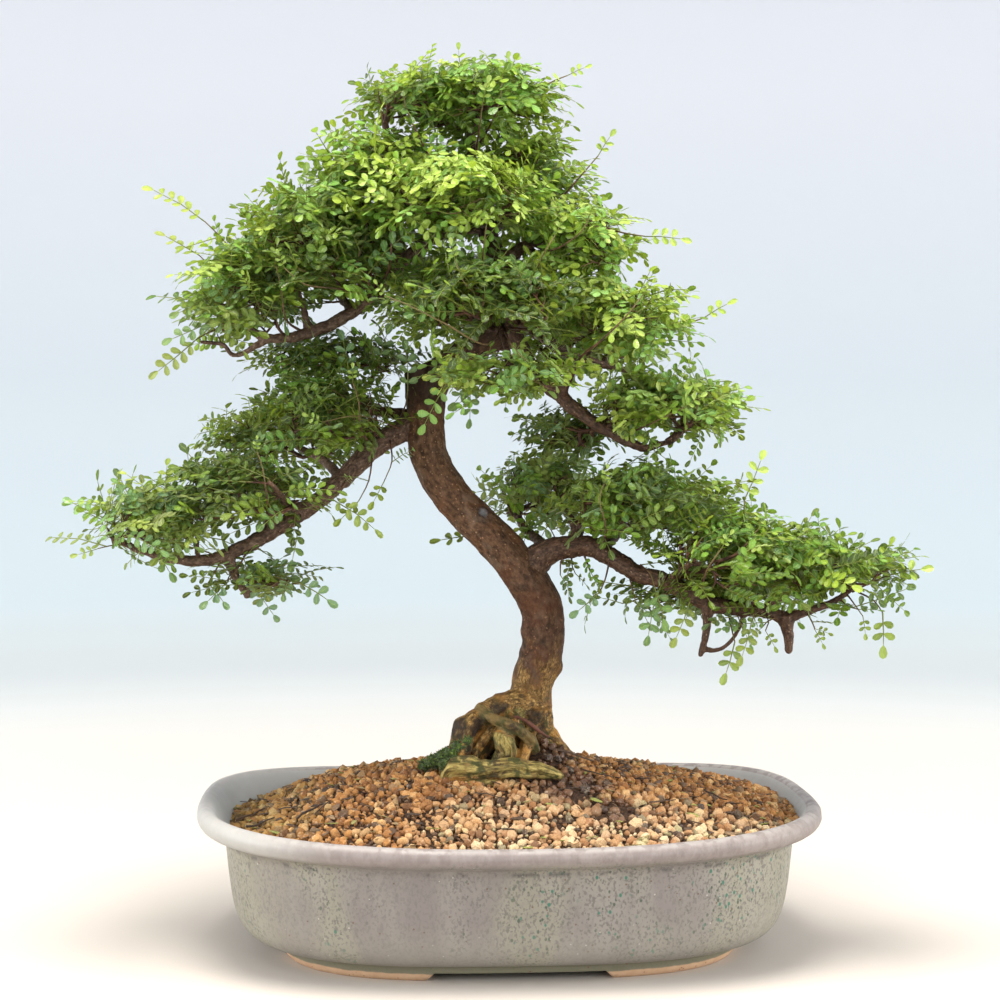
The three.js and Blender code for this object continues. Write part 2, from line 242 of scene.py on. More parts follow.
def read_points(mesh: Mesh) -> np.ndarray:
    """Give the mesh's points as rows of x, y, z.

    Args:
        mesh: The mesh.

    Returns:
        One row for each point.
    """
    rows = np.zeros(len(mesh.vertices) * 3)
    mesh.vertices.foreach_get("co", rows)
    return rows.reshape(-1, 3)


def read_normals(mesh: Mesh) -> np.ndarray:
    """Give the direction that each point of the mesh faces.

    Args:
        mesh: The mesh.

    Returns:
        One row for each point, of length one.
    """
    rows = np.zeros(len(mesh.vertices) * 3)
    mesh.vertices.foreach_get("normal", rows)
    return rows.reshape(-1, 3)


def move_points(mesh: Mesh, points: np.ndarray) -> None:
    """Put the mesh's points at new places.

    Args:
        mesh: The mesh.
        points: Rows of x, y, z in the order of the mesh's points.
    """
    mesh.vertices.foreach_set("co", points.ravel())
    mesh.update()


def thing(name: str, mesh: Mesh, *materials: Material) -> Piece:
    """Put a mesh in the scene as an object at the origin.

    Args:
        name: Name of the object.
        mesh: Its mesh.
        materials: Its materials, in slot order.

    Returns:
        The object.
    """
    for material in materials:
        mesh.materials.append(material)
    made = bpy.data.objects.new(name, mesh)
    bpy.context.scene.collection.objects.link(made)
    return made


def settled(piece: Piece) -> Piece:
    """Apply an object's modifiers, so that only a plain mesh is left.

    Args:
        piece: The object with its modifiers.

    Returns:
        The same object.
    """
    bpy.context.view_layer.update()
    graph = bpy.context.evaluated_depsgraph_get()
    mesh = bpy.data.meshes.new_from_object(piece.evaluated_get(graph))
    old = piece.data
    piece.modifiers.clear()
    piece.data = mesh
    mesh.name = piece.name
    bpy.data.meshes.remove(old)
    return piece


class Slot(Enum):
    """The record's material slots."""

    GLAZE = "glaze"
    SOIL = "soil_granules"
    MOSS = "moss"
    BARK = "bark"
    TWIG_BARK = "twig_bark"
    LEAF = "leaf"
    YOUNG_LEAF = "young_leaf"
    SHADED_LEAF = "shaded_leaf"


def hand_over(piece: Piece, slot: Slot, *nodes: str) -> None:
    """Attach a finished piece to the frame's root body, hide the CAD nodes that it stands for, and report it.

    Args:
        piece: The finished piece.
        slot: Not used.
        nodes: The CAD nodes that it stands for.
    """
    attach(piece, "root")
    if nodes:
        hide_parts(*nodes)
    faces = sum(len(face.vertices) - 2 for face in piece.data.polygons)
    LOG.info("%s: %d triangles", piece.name, faces)


class NodeMaker:
    """A tree of nodes under construction."""

    tree: bpy.types.NodeTree

    def node(self, kind: str, inputs: dict | None = None, **settings: object) -> Node:
        """Add a node.

        Args:
            kind: The node's type.
            inputs: Values, or sockets to link, by the name or index of the input.
            settings: Properties of the node.

        Returns:
            The node.
        """
        made = self.tree.nodes.new(kind)
        for key, value in settings.items():
            setattr(made, key, value)
        for key, value in (inputs or {}).items():
            if isinstance(value, Socket):
                self.tree.links.new(value, made.inputs[key])
            else:
                made.inputs[key].default_value = value
        return made


class Paint(NodeMaker):
    """A material under construction, with short calls for the nodes that this object's finishes share."""

    def __init__(self, name: str) -> None:
        """Start a material.

        Args:
            name: Name of the material.
        """
        self.material = bpy.data.materials.new(name)
        self.material.use_nodes = True
        self.tree = self.material.node_tree
        self.tree.nodes.clear()
        self.output = self.tree.nodes.new("ShaderNodeOutputMaterial")
        self.place = self.node("ShaderNodeTexCoord").outputs["Object"]
        self.shader = self.node("ShaderNodeBsdfPrincipled")
        self.tree.links.new(self.shader.outputs[0], self.output.inputs["Surface"])

    def axis(self, name: str) -> Socket:
        """Give one of the object's own coordinates, X, Y or Z, in metres."""
        return self.node("ShaderNodeSeparateXYZ", {"Vector": self.place}).outputs[name]

    def value(self, name: str, output: str = "Fac") -> Socket:
        """Read an attribute of the piece: its Fac for one number, its Vector for three."""
        return self.node("ShaderNodeAttribute", attribute_name=name).outputs[output]

    def stretched(self, vector: Socket, scale: Spot, shift: Spot = (0, 0, 0)) -> Socket:
        """Scale and shift a vector."""
        inputs = {"Vector": vector, "Scale": scale, "Location": shift}
        return self.node("ShaderNodeMapping", inputs).outputs[0]

    def source(self, at: Socket | None, squash: float, shift: Spot = (0, 0, 0)) -> Socket:
        """Give the vector that a pattern reads.

        Args:
            at: The vector, or nothing for the object's own coordinates.
            squash: Scale of its third number, under 1 for patterns that are drawn out along it.
            shift: How far it is shifted.

        Returns:
            The vector socket.
        """
        vector = self.place if at is None else at
        if squash == 1 and shift == (0, 0, 0):
            return vector
        return self.stretched(vector, (1, 1, squash), shift)

    def cloud(
        self, size: float, detail: float = 3, rough: float = 0.55, at: Socket | None = None, squash: float = 1
    ) -> Socket:
        """Give soft random noise.

        Args:
            size: Size of one lump, in millimetres.
            detail: How many finer layers it has.
            rough: How strong the finer layers are.
            at: Where it is read, as for source.
            squash: How it is drawn out, as for source.

        Returns:
            The factor socket.
        """
        inputs = {"Vector": self.source(at, squash), "Scale": 1 / (size * MM)}
        inputs.update(Detail=detail, Roughness=rough)
        return self.node("ShaderNodeTexNoise", inputs).outputs["Fac"]

    def cells(
        self, size: float, at: Socket | None = None, squash: float = 1, shift: Spot = (0, 0, 0)
    ) -> Socket:
        """Give the distance to the middle of random cells.

        Args:
            size: Size of one cell, in millimetres.
            at: Where they are read, as for source.
            squash: How they are drawn out, as for source.
            shift: How far they are shifted.

        Returns:
            The distance socket.
        """
        inputs = {"Vector": self.source(at, squash, shift), "Scale": 1 / (size * MM)}
        return self.node("ShaderNodeTexVoronoi", inputs).outputs["Distance"]

    def band(self, value: Socket, low: float, high: float, start: float = 0, end: float = 1) -> Socket:
        """Turn the range low to high into start to end, smoothly and clamped.

        Args:
            value: The number to read.
            low: Where the range starts.
            high: Where it ends, which may be below low.
            start: What it gives at low.
            end: What it gives at high.

        Returns:
            The number socket.
        """
        inputs = {"Value": value, "From Min": low, "From Max": high, "To Min": start, "To Max": end}
        return self.node("ShaderNodeMapRange", inputs, interpolation_type="SMOOTHSTEP").outputs[0]

    def math(self, kind: str, first: object, second: object = 0.0) -> Socket:
        """Work out a number from numbers or sockets with the operation of that name."""
        return self.node("ShaderNodeMath", {0: first, 1: second}, operation=kind).outputs[0]

    def times(self, first: object, second: object) -> Socket:
        """Multiply two numbers or sockets."""
        return self.math("MULTIPLY", first, second)

    def plus(self, first: object, second: object) -> Socket:
        """Add two numbers or sockets."""
        return self.math("ADD", first, second)

    def blend(self, share: object, first: object, second: object, kind: str = "MIX") -> Socket:
        """Mix two colours.

        Args:
            share: How much of the second shows.
            first: The first colour or socket.
            second: The second colour or socket.
            kind: How they mix, such as MIX or MULTIPLY.

        Returns:
            The colour socket.
        """
        shown = [(*colour, 1) if isinstance(colour, tuple) else colour for colour in (first, second)]
        inputs = {0: share, 6: shown[0], 7: shown[1]}
        return self.node("ShaderNodeMix", inputs, data_type="RGBA", blend_type=kind).outputs[2]

    def ramp(self, value: Socket, stops: Sequence[tuple[float, Colour]]) -> Socket:
        """Turn a number into a colour.

        Args:
            value: The number, from 0 to 1.
            stops: Where each colour stands, and the colour.

        Returns:
            The colour socket.
        """
        made = self.node("ShaderNodeValToRGB", {"Fac": value})
        scale = made.color_ramp
        while len(scale.elements) < len(stops):
            scale.elements.new(0.5)
        for element, (where, colour) in zip(scale.elements, stops):
            element.position = where
            element.color = (*colour, 1)
        return made.outputs["Color"]

    def height(self, value: Socket, depth: float, under: Socket | None = None) -> Socket:
        """Make relief from a number.

        Args:
            value: The relief, from 0 to 1.
            depth: How deep it is, in millimetres.
            under: The relief that it lies on.

        Returns:
            The normal socket.
        """
        inputs = {"Height": value, "Distance": depth * MM, "Strength": 1.0}
        if under is not None:
            inputs["Normal"] = under
        return self.node("ShaderNodeBump", inputs).outputs[0]

    def done(
        self, colour: Socket, roughness: object, normal: Socket | None = None, **plain: float
    ) -> Material:
        """Set the shader and give the material.

        Args:
            colour: The colour socket.
            roughness: A number or a socket.
            normal: The relief, if there is one.
            plain: Other shader inputs, with underscores for spaces.

        Returns:
            The material.
        """
        self.tree.links.new(colour, self.shader.inputs["Base Color"])
        if isinstance(roughness, Socket):
            self.tree.links.new(roughness, self.shader.inputs["Roughness"])
        else:
            self.shader.inputs["Roughness"].default_value = roughness
        if normal is not None:
            self.tree.links.new(normal, self.shader.inputs["Normal"])
        for key, value in plain.items():
            self.shader.inputs[key.replace("_", " ")].default_value = value
        return self.material

    def thin(self, share: float, colour: Socket) -> Material:
        """Let light through a thin piece.

        Args:
            share: How much of the light that lands goes through.
            colour: The colour that the light takes on.

        Returns:
            The material.
        """
        through = self.node("ShaderNodeBsdfTranslucent", {"Color": colour})
        mixed = self.node("ShaderNodeMixShader", {0: share, 1: self.shader.outputs[0], 2: through.outputs[0]})
        self.tree.links.new(mixed.outputs[0], self.output.inputs["Surface"])
        return self.material


@dataclass(frozen=True)
class GlazeFinish:
    """The pot's satin grey glaze over bare clay feet."""

    clay_top: float = 3.7
    clay_edge: float = 0.5
    band_top: float = 8.4
    rim_levels: tuple[float, float] = (59.5 * MM, 64 * MM)
    bounce_levels: tuple[float, float] = (36 * MM, 12 * MM)
    rust_levels: tuple[float, float] = (13 * MM, 9 * MM)
    end_reach: tuple[float, float] = (60 * MM, 135 * MM)
    lit_lip_reach: tuple[float, float] = (-70 * MM, -135 * MM)
    speck_reach: tuple[float, float] = (0, 60 * MM)
    mauve_grey: Colour = (0.195, 0.174, 0.166)
    green_grey: Colour = (0.248, 0.236, 0.184)
    pale_veil: Colour = (0.275, 0.258, 0.232)
    dark_mottle: Colour = (0.140, 0.128, 0.125)
    rim_mauve: Colour = (0.212, 0.174, 0.168)
    rim_worn: Colour = (0.262, 0.224, 0.216)
    painted_lit_lip: Colour = (0.430, 0.432, 0.412)
    # Partly the inner glaze's own grey, partly painted light.
    inner_wall: Colour = (0.37, 0.372, 0.362)
    painted_bounce_light: Colour = (0.36, 0.345, 0.290)
    glaze_end: Colour = (0.165, 0.160, 0.100)
    rust_spot: Colour = (0.16, 0.055, 0.02)
    dark_clay: Colour = (0.47, 0.28, 0.16)
    pale_clay: Colour = (0.60, 0.42, 0.28)
    grit_grain: Colour = (0.25, 0.1, 0.05)
    fine_speck: Colour = (0.108, 0.100, 0.092)
    dark_speck: Colour = (0.062, 0.085, 0.060)
    teal_speck: Colour = (0.040, 0.140, 0.100)
    brown_speck: Colour = (0.115, 0.062, 0.035)
    chalk_speck: Colour = (0.52, 0.49, 0.45)
    painted_lip_shade: Colour = (0.070, 0.065, 0.065)
    painted_lip_highlight: Colour = (0.42, 0.39, 0.37)

    def material(self) -> Material:
        """Make the glaze: mauve grey, greener at the ends, with dark and teal specks, paler inside partly as
        painted light, lightened as painted light at the rim's left end and low on the belly, with painted
        shade under the lip and a painted highlight on its edge.

        Returns:
            The material.
        """
        paint = Paint("speckled grey glaze")
        level = paint.axis("Z")
        side = paint.band(paint.cloud(60, 2, squash=0.4), 0.42, 0.6)
        end = paint.band(paint.math("ABSOLUTE", paint.axis("X"), 0), *self.end_reach)
        green = paint.band(paint.plus(side, end), 0.2, 1.4)
        body = paint.blend(green, self.mauve_grey, self.green_grey)
        veil = paint.band(paint.cloud(22, 4, 0.6, squash=0.25), 0.42, 0.66)
        body = paint.blend(paint.times(veil, 0.45), body, self.pale_veil)
        mottle = paint.band(paint.cloud(2.6, 5, 0.66, squash=0.7), 0.5, 0.66)
        body = paint.blend(paint.times(mottle, 0.4), body, self.dark_mottle)
        colour = self.speckled(paint, body)
        worn = paint.band(paint.cloud(5, 5, 0.65, squash=0.5), 0.40, 0.62)
        rim = paint.band(level, *self.rim_levels)
        mauve = paint.blend(worn, self.rim_mauve, self.rim_worn)
        colour = paint.blend(paint.times(rim, 0.85), colour, mauve)
        # Painted light: the rim is lightened towards its left end, where light from the left falls on it.
        lit_left_lip = paint.times(rim, paint.band(paint.axis("X"), *self.lit_lip_reach, 0, 0.75))
        colour = paint.blend(lit_left_lip, colour, self.painted_lit_lip)
        # Paler inside: partly the inner glaze's own grey, partly painted light lifting the shade on the inner
        # wall.
        inside = paint.band(paint.value("inside"), 0.4, 0.6)
        colour = paint.blend(paint.times(inside, 0.8), colour, self.inner_wall)
        # Painted light: the glaze is lightened towards the bottom, where light bounces up from the floor.
        colour = paint.blend(paint.band(level, *self.bounce_levels, 0, 0.3), colour, self.painted_bounce_light)
        # Painted shade in the crease under the lip and a painted highlight on the lip's edge.
        colour = self.paint_lip_shade_and_highlight(paint, colour)
        band = paint.band(level, (self.band_top + 0.8) * MM, (self.band_top - 0.8) * MM)
        colour = paint.blend(paint.times(band, 0.8), colour, self.glaze_end)
        rust = paint.band(paint.cells(6.5), 0.115, 0.07)
        near_foot = paint.band(level, *self.rust_levels)
        colour = paint.blend(paint.times(rust, near_foot), colour, self.rust_spot)
        ragged = paint.plus(level, paint.times(paint.cloud(7), 1.6 * MM))
        bare = paint.band(ragged, (self.clay_top + 1.2) * MM, (self.clay_top + self.clay_edge) * MM)
        grit = paint.band(paint.cells(3.1), 0.16, 0.1)
        clay = paint.blend(paint.cloud(5, 4), self.dark_clay, self.pale_clay)
        clay = paint.blend(grit, clay, self.grit_grain)
        colour = paint.blend(bare, colour, clay)
        rough = paint.plus(paint.times(bare, 0.45), paint.band(paint.cloud(8), 0.3, 0.7, 0.44, 0.56))
        relief = paint.height(paint.cloud(3.2, 3), 0.12)
        relief = paint.height(paint.cloud(26, 2), 0.5, relief)
        coat = {"Coat_Weight": 0.05, "Coat_Roughness": 0.35}
        return paint.done(colour, rough, relief, **coat, Specular_IOR_Level=0.38)

    def speckled(self, paint: Paint, body: Socket) -> Socket:
        """Scatter dark green and teal specks over the glaze.

        Args:
            paint: The material.
            body: The glaze's colour so far.

        Returns:
            The colour socket.
        """
        right = paint.band(paint.axis("X"), *self.speck_reach, 0, 0.12)
        drift = paint.plus(paint.cloud(30, 3, squash=0.5), right)
        crowd = paint.band(drift, 0.46, 0.64, 0.2, 1)
        tilted = paint.node("ShaderNodeVectorRotate", {"Vector": paint.place, "Angle": 0.6}).outputs[0]
        fine = paint.band(paint.cloud(1.3, 2, 0.5, at=tilted, squash=0.75), 0.53, 0.60)
        fine = paint.times(fine, paint.band(crowd, 0, 1, 0.25, 0.7))
        colour = paint.blend(fine, body, self.fine_speck)
        specks = paint.band(paint.cells(2.3, at=tilted, squash=0.7, shift=(0.2, 0.5, 0.1)), 0.36, 0.22)
        chosen = paint.band(paint.cloud(4.0, 2), 0.50, 0.58)
        specks = paint.times(paint.times(specks, chosen), crowd)
        colour = paint.blend(specks, colour, self.dark_speck)
        teal_spots = paint.band(paint.cells(4.2, squash=0.7, shift=(0.3, 0.1, 0.2)), 0.22, 0.12)
        teal_zone = paint.band(drift, 0.54, 0.66)
        colour = paint.blend(paint.times(teal_spots, teal_zone), colour, self.teal_speck)
        brown = paint.band(paint.cells(5.5, shift=(0.7, 0.2, 0.4)), 0.11, 0.07)
        colour = paint.blend(paint.times(brown, 0.8), colour, self.brown_speck)
        chalk = paint.band(paint.cells(6.5, shift=(0.4, 0.9, 0.3)), 0.075, 0.045)
        return paint.blend(paint.times(chalk, 0.6), colour, self.chalk_speck)

    def paint_lip_shade_and_highlight(self, paint: Paint, colour: Socket) -> Socket:
        """Paint a broken line of shade in the crease below the lip and a broken highlight on its edge.

        Args:
            paint: The material.
            colour: The glaze's colour so far.

        Returns:
            The colour socket.
        """
        dashes = paint.cloud(7, 3, squash=0.2)
        # Painted shade below the lip.
        below = paint.times(paint.value("crease"), paint.band(dashes, 0.47, 0.60, 0.1, 0.85))
        colour = paint.blend(below, colour, self.painted_lip_shade)
        # Painted highlight along the lip's edge, where the edge mask runs.
        pale = paint.times(paint.value("edge"), paint.band(dashes, 0.56, 0.46, 0.15, 0.75))
        return paint.blend(pale, colour, self.painted_lip_highlight)


@dataclass
class GlazedPot:
    """The oval pot: a floor on four low feet, a rounded belly and a rolled lip."""

    rim_rise: float = 6.5
    squareness: float = 3.0
    turns: int = 208
    foot_height: float = 4.2
    gap_length: float = 84.3
    gap_width: float = 67.0
    gap_flare: float = 3.4
    drain_radius: float = 12.0
    drain_x: float = 62.0
    height: float = 72.5
    lip_shade_level: float = 57.4
    lip_highlight_level: float = 72.1
    cutter_length: float = 330.0
    cutter_width: float = 270.0
    drill: tuple[float, float] = (2.0, 25.0)
    drill_turns: int = 40
    sections: tuple[tuple[Spot, ...], ...] = (
        ((0, 0, 8), (106, 86, 8)),
        ((106, 86, 8), (108.1, 87.6, 0.8)),
        ((108.1, 87.6, 0.8), (109, 88.4, 0), (115.4, 95.4, 0), (116.2, 96.2, 0.6)),
        ((116.2, 96.2, 0.6), (117.6, 97.4, 2.4), (118.2, 98, 4.6), (118.5, 98.4, 6.8), (119.6, 99.2, 8.2)),
        ((119.6, 99.2, 8.2), (124.5, 102.4, 8.5), (131.4, 106.6, 10.6), (137.4, 110.6, 15.4),
         (141.2, 113.6, 23.5), (143.4, 115.4, 35), (145, 116.5, 48), (145.7, 117, 55.6)),
        ((145.7, 117, 55.6), (146.2, 117.4, 57.6), (147.8, 118.4, 59.6), (150.6, 120.6, 60.8),
         (154.6, 124.2, 61.7), (158.2, 127.2, 63.6), (160, 129, 66.6), (159.7, 128.7, 69.6),
         (158, 127, 71.6), (155.8, 124.8, 72.5), (153.6, 122.6, 72), (151.5, 120.4, 70.2),
         (149.4, 118.6, 67.2), (146.2, 116, 62.6), (142.4, 113, 57), (139.6, 110.8, 46), (136.6, 108.4, 30),
         (131, 103.4, 19.6), (124, 97, 15.4), (112, 87, 14.5)),
        ((112, 87, 14.5), (0, 0, 14.5)),
    )

    def plan(self, turns: int) -> np.ndarray:
        """Give evenly spaced points of the rounded oval plan, as shares of its half sizes.

        Args:
            turns: How many points go round.

        Returns:
            Rows of x and y, each from -1 to 1.
        """
        fine = np.linspace(0, 2 * math.pi, 20001)
        power = 2 / self.squareness
        cos, sin = np.cos(fine), np.sin(fine)
        ring = np.stack([np.sign(cos) * np.abs(cos) ** power, np.sign(sin) * np.abs(sin) ** power], -1)
        run = run_along(ring * (1.24, 1))
        even = np.linspace(0, run[-1], turns, endpoint=False)
        return np.stack([np.interp(even, run, ring[:, axis]) for axis in (0, 1)], -1)

    def lifted(self, rows: np.ndarray) -> np.ndarray:
        """Raise the ends of the rim over the middle of its sides.

        Args:
            rows: Points in millimetres.

        Returns:
            The raised points in millimetres.
        """
        half_length = (POT_HIGH.x - POT_LOW.x) / 2 / MM
        rise = self.rim_rise * ((rows[..., 0] / half_length) ** 2 - 0.5) * (rows[..., 2] / self.height) ** 2
        return rows + np.stack([0 * rise, 0 * rise, rise], -1)

    def outline(self) -> np.ndarray:
        """Give the wall's outline, from the middle of its underside round to the middle of its floor."""
        rows = [route(np.array(part, float), 2.6) for part in self.sections]
        return np.concatenate([rows[0], *[part[1:] for part in rows[1:]]])

    def build(self) -> Piece:
        """Turn the outline round the oval plan and cut the feet and drain holes.

        Returns:
            The finished pot.
        """
        outline = self.outline()
        ring = self.plan(self.turns)
        grid = np.concatenate(
            [outline[1:-1, None, :2] * ring[None], np.repeat(outline[1:-1, None, 2:], self.turns, 1)], -1
        )
        grid = self.lifted(grid).clip((-999, -999, 0))
        rows, turns = grid.shape[:2]
        skin = Skin()
        index = np.arange(rows * turns).reshape(rows, turns)
        low, high = rows * turns, rows * turns + 1
        caps = fan_faces(low, index[0], flip=True) + fan_faces(high, index[-1])
        points = np.concatenate([grid.reshape(-1, 3), [outline[0], outline[-1]]])
        lip = int(np.argmax(outline[:, 2]))
        inside = np.repeat((np.arange(rows) > lip).astype(float), turns)
        level = outline[1:-1, 2]
        # Masks for the painted shade under the lip and the painted highlight on its edge.
        crease = bell(level - self.lip_shade_level, 0.9) * (np.arange(rows) < lip)
        edge = bell(level - self.lip_highlight_level, 0.8) * (np.arange(rows) < lip + 2)
        lines = {
            name: np.append(np.repeat(rows_of, turns), [0, 0])
            for name, rows_of in (("crease", crease), ("edge", edge))
        }
        skin.add(placed(points), [*ring_faces(index), *caps], inside=np.append(inside, [0, 1]), **lines)
        pot = thing("pot_body", skin.mesh("pot_body"), GlazeFinish().material())
        face_out(pot.data)
        for cutter in self.cutters():
            cut = pot.modifiers.new("cut", "BOOLEAN")
            cut.operation = "DIFFERENCE"
            cut.solver = "EXACT"
            cut.object = cutter
            settled(pot)
            bpy.data.objects.remove(cutter)
        return pot

    def cutters(self) -> list[Piece]:
        """Make the two flared bars that part the feet and the two posts that bore the drain holes.

        Returns:
            The four solids.
        """
        made = []
        top = self.foot_height
        for size, axis, reach in (
            (self.gap_length, 0, self.cutter_width / 2), (self.gap_width, 1, self.cutter_length / 2)
        ):
            half, foot = size / 2, size / 2 + self.gap_flare
            profile = [(-foot - 1, -1), (foot + 1, -1), (half, top - 0.8), (half - 1, top)]
            profile += [(-half + 1, top), (-half, top - 0.8)]
            ends = [[(a, e, z) if axis == 0 else (e, a, z) for a, z in profile] for e in (-reach, reach)]
            made.append(prism(*ends))
        turn = even_angles(self.drill_turns)
        reach = self.drain_radius
        for side in (-1, 1):
            ring = [(side * self.drain_x + reach * math.cos(a), reach * math.sin(a)) for a in turn]
            made.append(prism(*([(x, y, z) for x, y in ring] for z in self.drill)))
        return made


def prism(first: Sequence[Spot], second: Sequence[Spot]) -> Piece:
    """Make a closed solid between two outlines with the same number of corners.

    Args:
        first: Corners of one end, in millimetres.
        second: Corners of the other end.

    Returns:
        The solid, with its faces outwards.
    """
    count = len(first)
    corners = placed([*first, *second])
    faces = [tuple(range(count)), tuple(range(count, 2 * count))]
    faces += [(k, (k + 1) % count, (k + 1) % count + count, k + count) for k in range(count)]
    mesh = bpy.data.meshes.new("cutter")
    mesh.from_pydata(corners.tolist(), [], faces)
    face_out(mesh)
    return thing("cutter", mesh)


def face_out(mesh: Mesh) -> None:
    """Turn all faces of a closed mesh outwards.

    Args:
        mesh: The mesh.
    """
    work = bmesh.new()
    work.from_mesh(mesh)
    bmesh.ops.recalc_face_normals(work, faces=work.faces)
    work.to_mesh(mesh)
    work.free()


def route(stops: np.ndarray, step: float) -> np.ndarray:
    """Draw a smooth line through stops.

    Args:
        stops: Rows of numbers, the first three of them the place.
        step: Length of one piece of the line, in the unit of the stops.

    Returns:
        Rows of the same numbers, closely spaced.
    """
    ends = np.vstack([2 * stops[0] - stops[1], stops, 2 * stops[-1] - stops[-2]])
    line = []
    for a, b, c, d in zip(ends, ends[1:], ends[2:], ends[3:]):
        count = max(1, round(float(np.linalg.norm(c[:3] - b[:3])) / step))
        t = (np.arange(count) / count)[:, None]
        square, cube = 2 * a - 5 * b + 4 * c - d, 3 * b - a - 3 * c + d
        line.append(0.5 * (2 * b + (c - a) * t + square * t**2 + cube * t**3))
    return np.vstack([*line, stops[-1:]])


class GraphTree(NodeMaker):
    """A Geometry Nodes tree with named inputs that ends in real faces with a material."""

    def __init__(self, name: str, sockets: Sequence[tuple[str, str]]) -> None:
        """Start the tree.

        Args:
            name: Name of the tree.
            sockets: Name and type of each input after the geometry.
        """
        self.tree = bpy.data.node_groups.new(name, "GeometryNodeTree")
        face = self.tree.interface
        face.new_socket("Geometry", in_out="INPUT", socket_type="NodeSocketGeometry")
        self.keys = {
            label: face.new_socket(label, in_out="INPUT", socket_type=kind).identifier
            for label, kind in sockets
        }
        face.new_socket("Geometry", in_out="OUTPUT", socket_type="NodeSocketGeometry")
        self.source = self.tree.nodes.new("NodeGroupInput").outputs

    def read(self, name: str, kind: str) -> Socket:
        """Read a value of the points by its name and data type."""
        return self.node("GeometryNodeInputNamedAttribute", {"Name": name}, data_type=kind).outputs[0]

    def random(self, kind: str, low: object, high: object, seed: int = 0) -> Socket:
        """Give each point a random value.

        Args:
            kind: FLOAT_VECTOR, FLOAT or INT.
            low: The lowest value.
            high: The highest value.
            seed: Which random values.

        Returns:
            The value socket.
        """
        index = ("FLOAT_VECTOR", "FLOAT", "INT").index(kind)
        inputs = {2 * index: low, 2 * index + 1: high, "Seed": seed}
        return self.node("FunctionNodeRandomValue", inputs, data_type=kind).outputs[index]

    def hung(self, label: str, points: Socket, pick: Socket, turn: Socket, size: Socket) -> Socket:
        """Put shapes from a collection on points.

        Args:
            label: The tree's input that gives the collection.
            points: The points.
            pick: Which shape each point takes.
            turn: How it is turned.
            size: Its scale.

        Returns:
            The instances.
        """
        shapes = {0: self.source[label], "Separate Children": True, "Reset Children": True}
        bank = self.node("GeometryNodeCollectionInfo", shapes).outputs[0]
        inputs = {"Points": points, "Instance": bank, "Pick Instance": True, "Instance Index": pick}
        inputs.update(Rotation=turn, Scale=size)
        return self.node("GeometryNodeInstanceOnPoints", inputs).outputs[0]

    def end(self, instances: Socket) -> None:
        """Turn the instances into real faces with the material, and give them out.

        Args:
            instances: The instances.
        """
        real = self.node("GeometryNodeRealizeInstances", {0: instances}).outputs[0]
        finish = {0: real, "Material": self.source["Finish"]}
        out = self.tree.nodes.new("NodeGroupOutput")
        self.tree.links.new(self.node("GeometryNodeSetMaterial", finish).outputs[0], out.inputs[0])

    def run(self, name: str, mesh: Mesh, **values: object) -> Piece:
        """Run the tree on a mesh.

        Args:
            name: Name of the piece that comes out.
            mesh: What the tree is given.
            values: The inputs, with underscores for spaces.

        Returns:
            The piece, as a plain mesh.
        """
        piece = thing(name, mesh)
        modifier = piece.modifiers.new("grow", "NODES")
        modifier.node_group = self.tree
        for label, value in values.items():
            modifier[self.keys[label.replace("_", " ")]] = value
        return settled(piece)


def scatter_tree() -> GraphTree:
    """Build the tree that strews small shapes over a surface.

    Returns:
        The tree. Each strewn shape carries a random number from 0 to 1 as its tint.
    """
    labels = [("Shapes", "NodeSocketCollection")]
    labels += [(name, "NodeSocketFloat") for name in ("Spacing", "Density", "Smallest", "Largest", "Upright")]
    labels += [("Seed", "NodeSocketInt"), ("Finish", "NodeSocketMaterial")]
    graph = GraphTree("strew shapes", labels)
    source = graph.source
    inputs = {"Mesh": source["Geometry"], "Distance Min": source["Spacing"], "Seed": source["Seed"]}
    inputs.update({"Density Max": source["Density"], "Density Factor": graph.read("cover", "FLOAT")})
    spread = graph.node("GeometryNodeDistributePointsOnFaces", inputs, distribute_method="POISSON")
    turn = graph.random("FLOAT_VECTOR", (0.0, 0.0, 0.0), (6.2832, 6.2832, 6.2832))
    spin = graph.random("FLOAT_VECTOR", (-0.3, -0.3, 0.0), (0.3, 0.3, 6.2832))
    lean = graph.node("ShaderNodeMix", {0: source["Upright"], 4: turn, 5: spin}, data_type="VECTOR")
    chance = {0: graph.random("FLOAT", 0.0, 1.0, 3), 1: 1.5}
    skewed = graph.node("ShaderNodeMath", chance, operation="POWER").outputs[0]
    spans = {0: skewed, 3: source["Smallest"], 4: source["Largest"]}
    size = graph.node("ShaderNodeMapRange", spans).outputs[0]
    pick = graph.random("INT", 0, 63)
    strewn = graph.hung("Shapes", spread.outputs["Points"], pick, lean.outputs[1], size)
    tint = {0: strewn, "Name": "tint", "Value": graph.random("FLOAT", 0.0, 1.0, 7)}
    kept = graph.node("GeometryNodeStoreNamedAttribute", tint, data_type="FLOAT", domain="INSTANCE")
    graph.end(kept.outputs[0])
    return graph


def leaf_tree() -> GraphTree:
    """Build the tree that puts a compound leaf on each point of a spray.

    Returns:
        The tree. Each point says its leaf's design, turn and size, and its tones ride along.
    """
    labels = [("Leaves", "NodeSocketCollection"), ("Finish", "NodeSocketMaterial")]
    graph = GraphTree("leaves on twigs", labels)
    turn = graph.node("FunctionNodeEulerToRotation", {0: graph.read("turn", "FLOAT_VECTOR")}).outputs[0]
    points, design, size = graph.source["Geometry"], graph.read("design", "INT"), graph.read("size", "FLOAT")
    graph.end(graph.hung("Leaves", points, design, turn, size))
    return graph


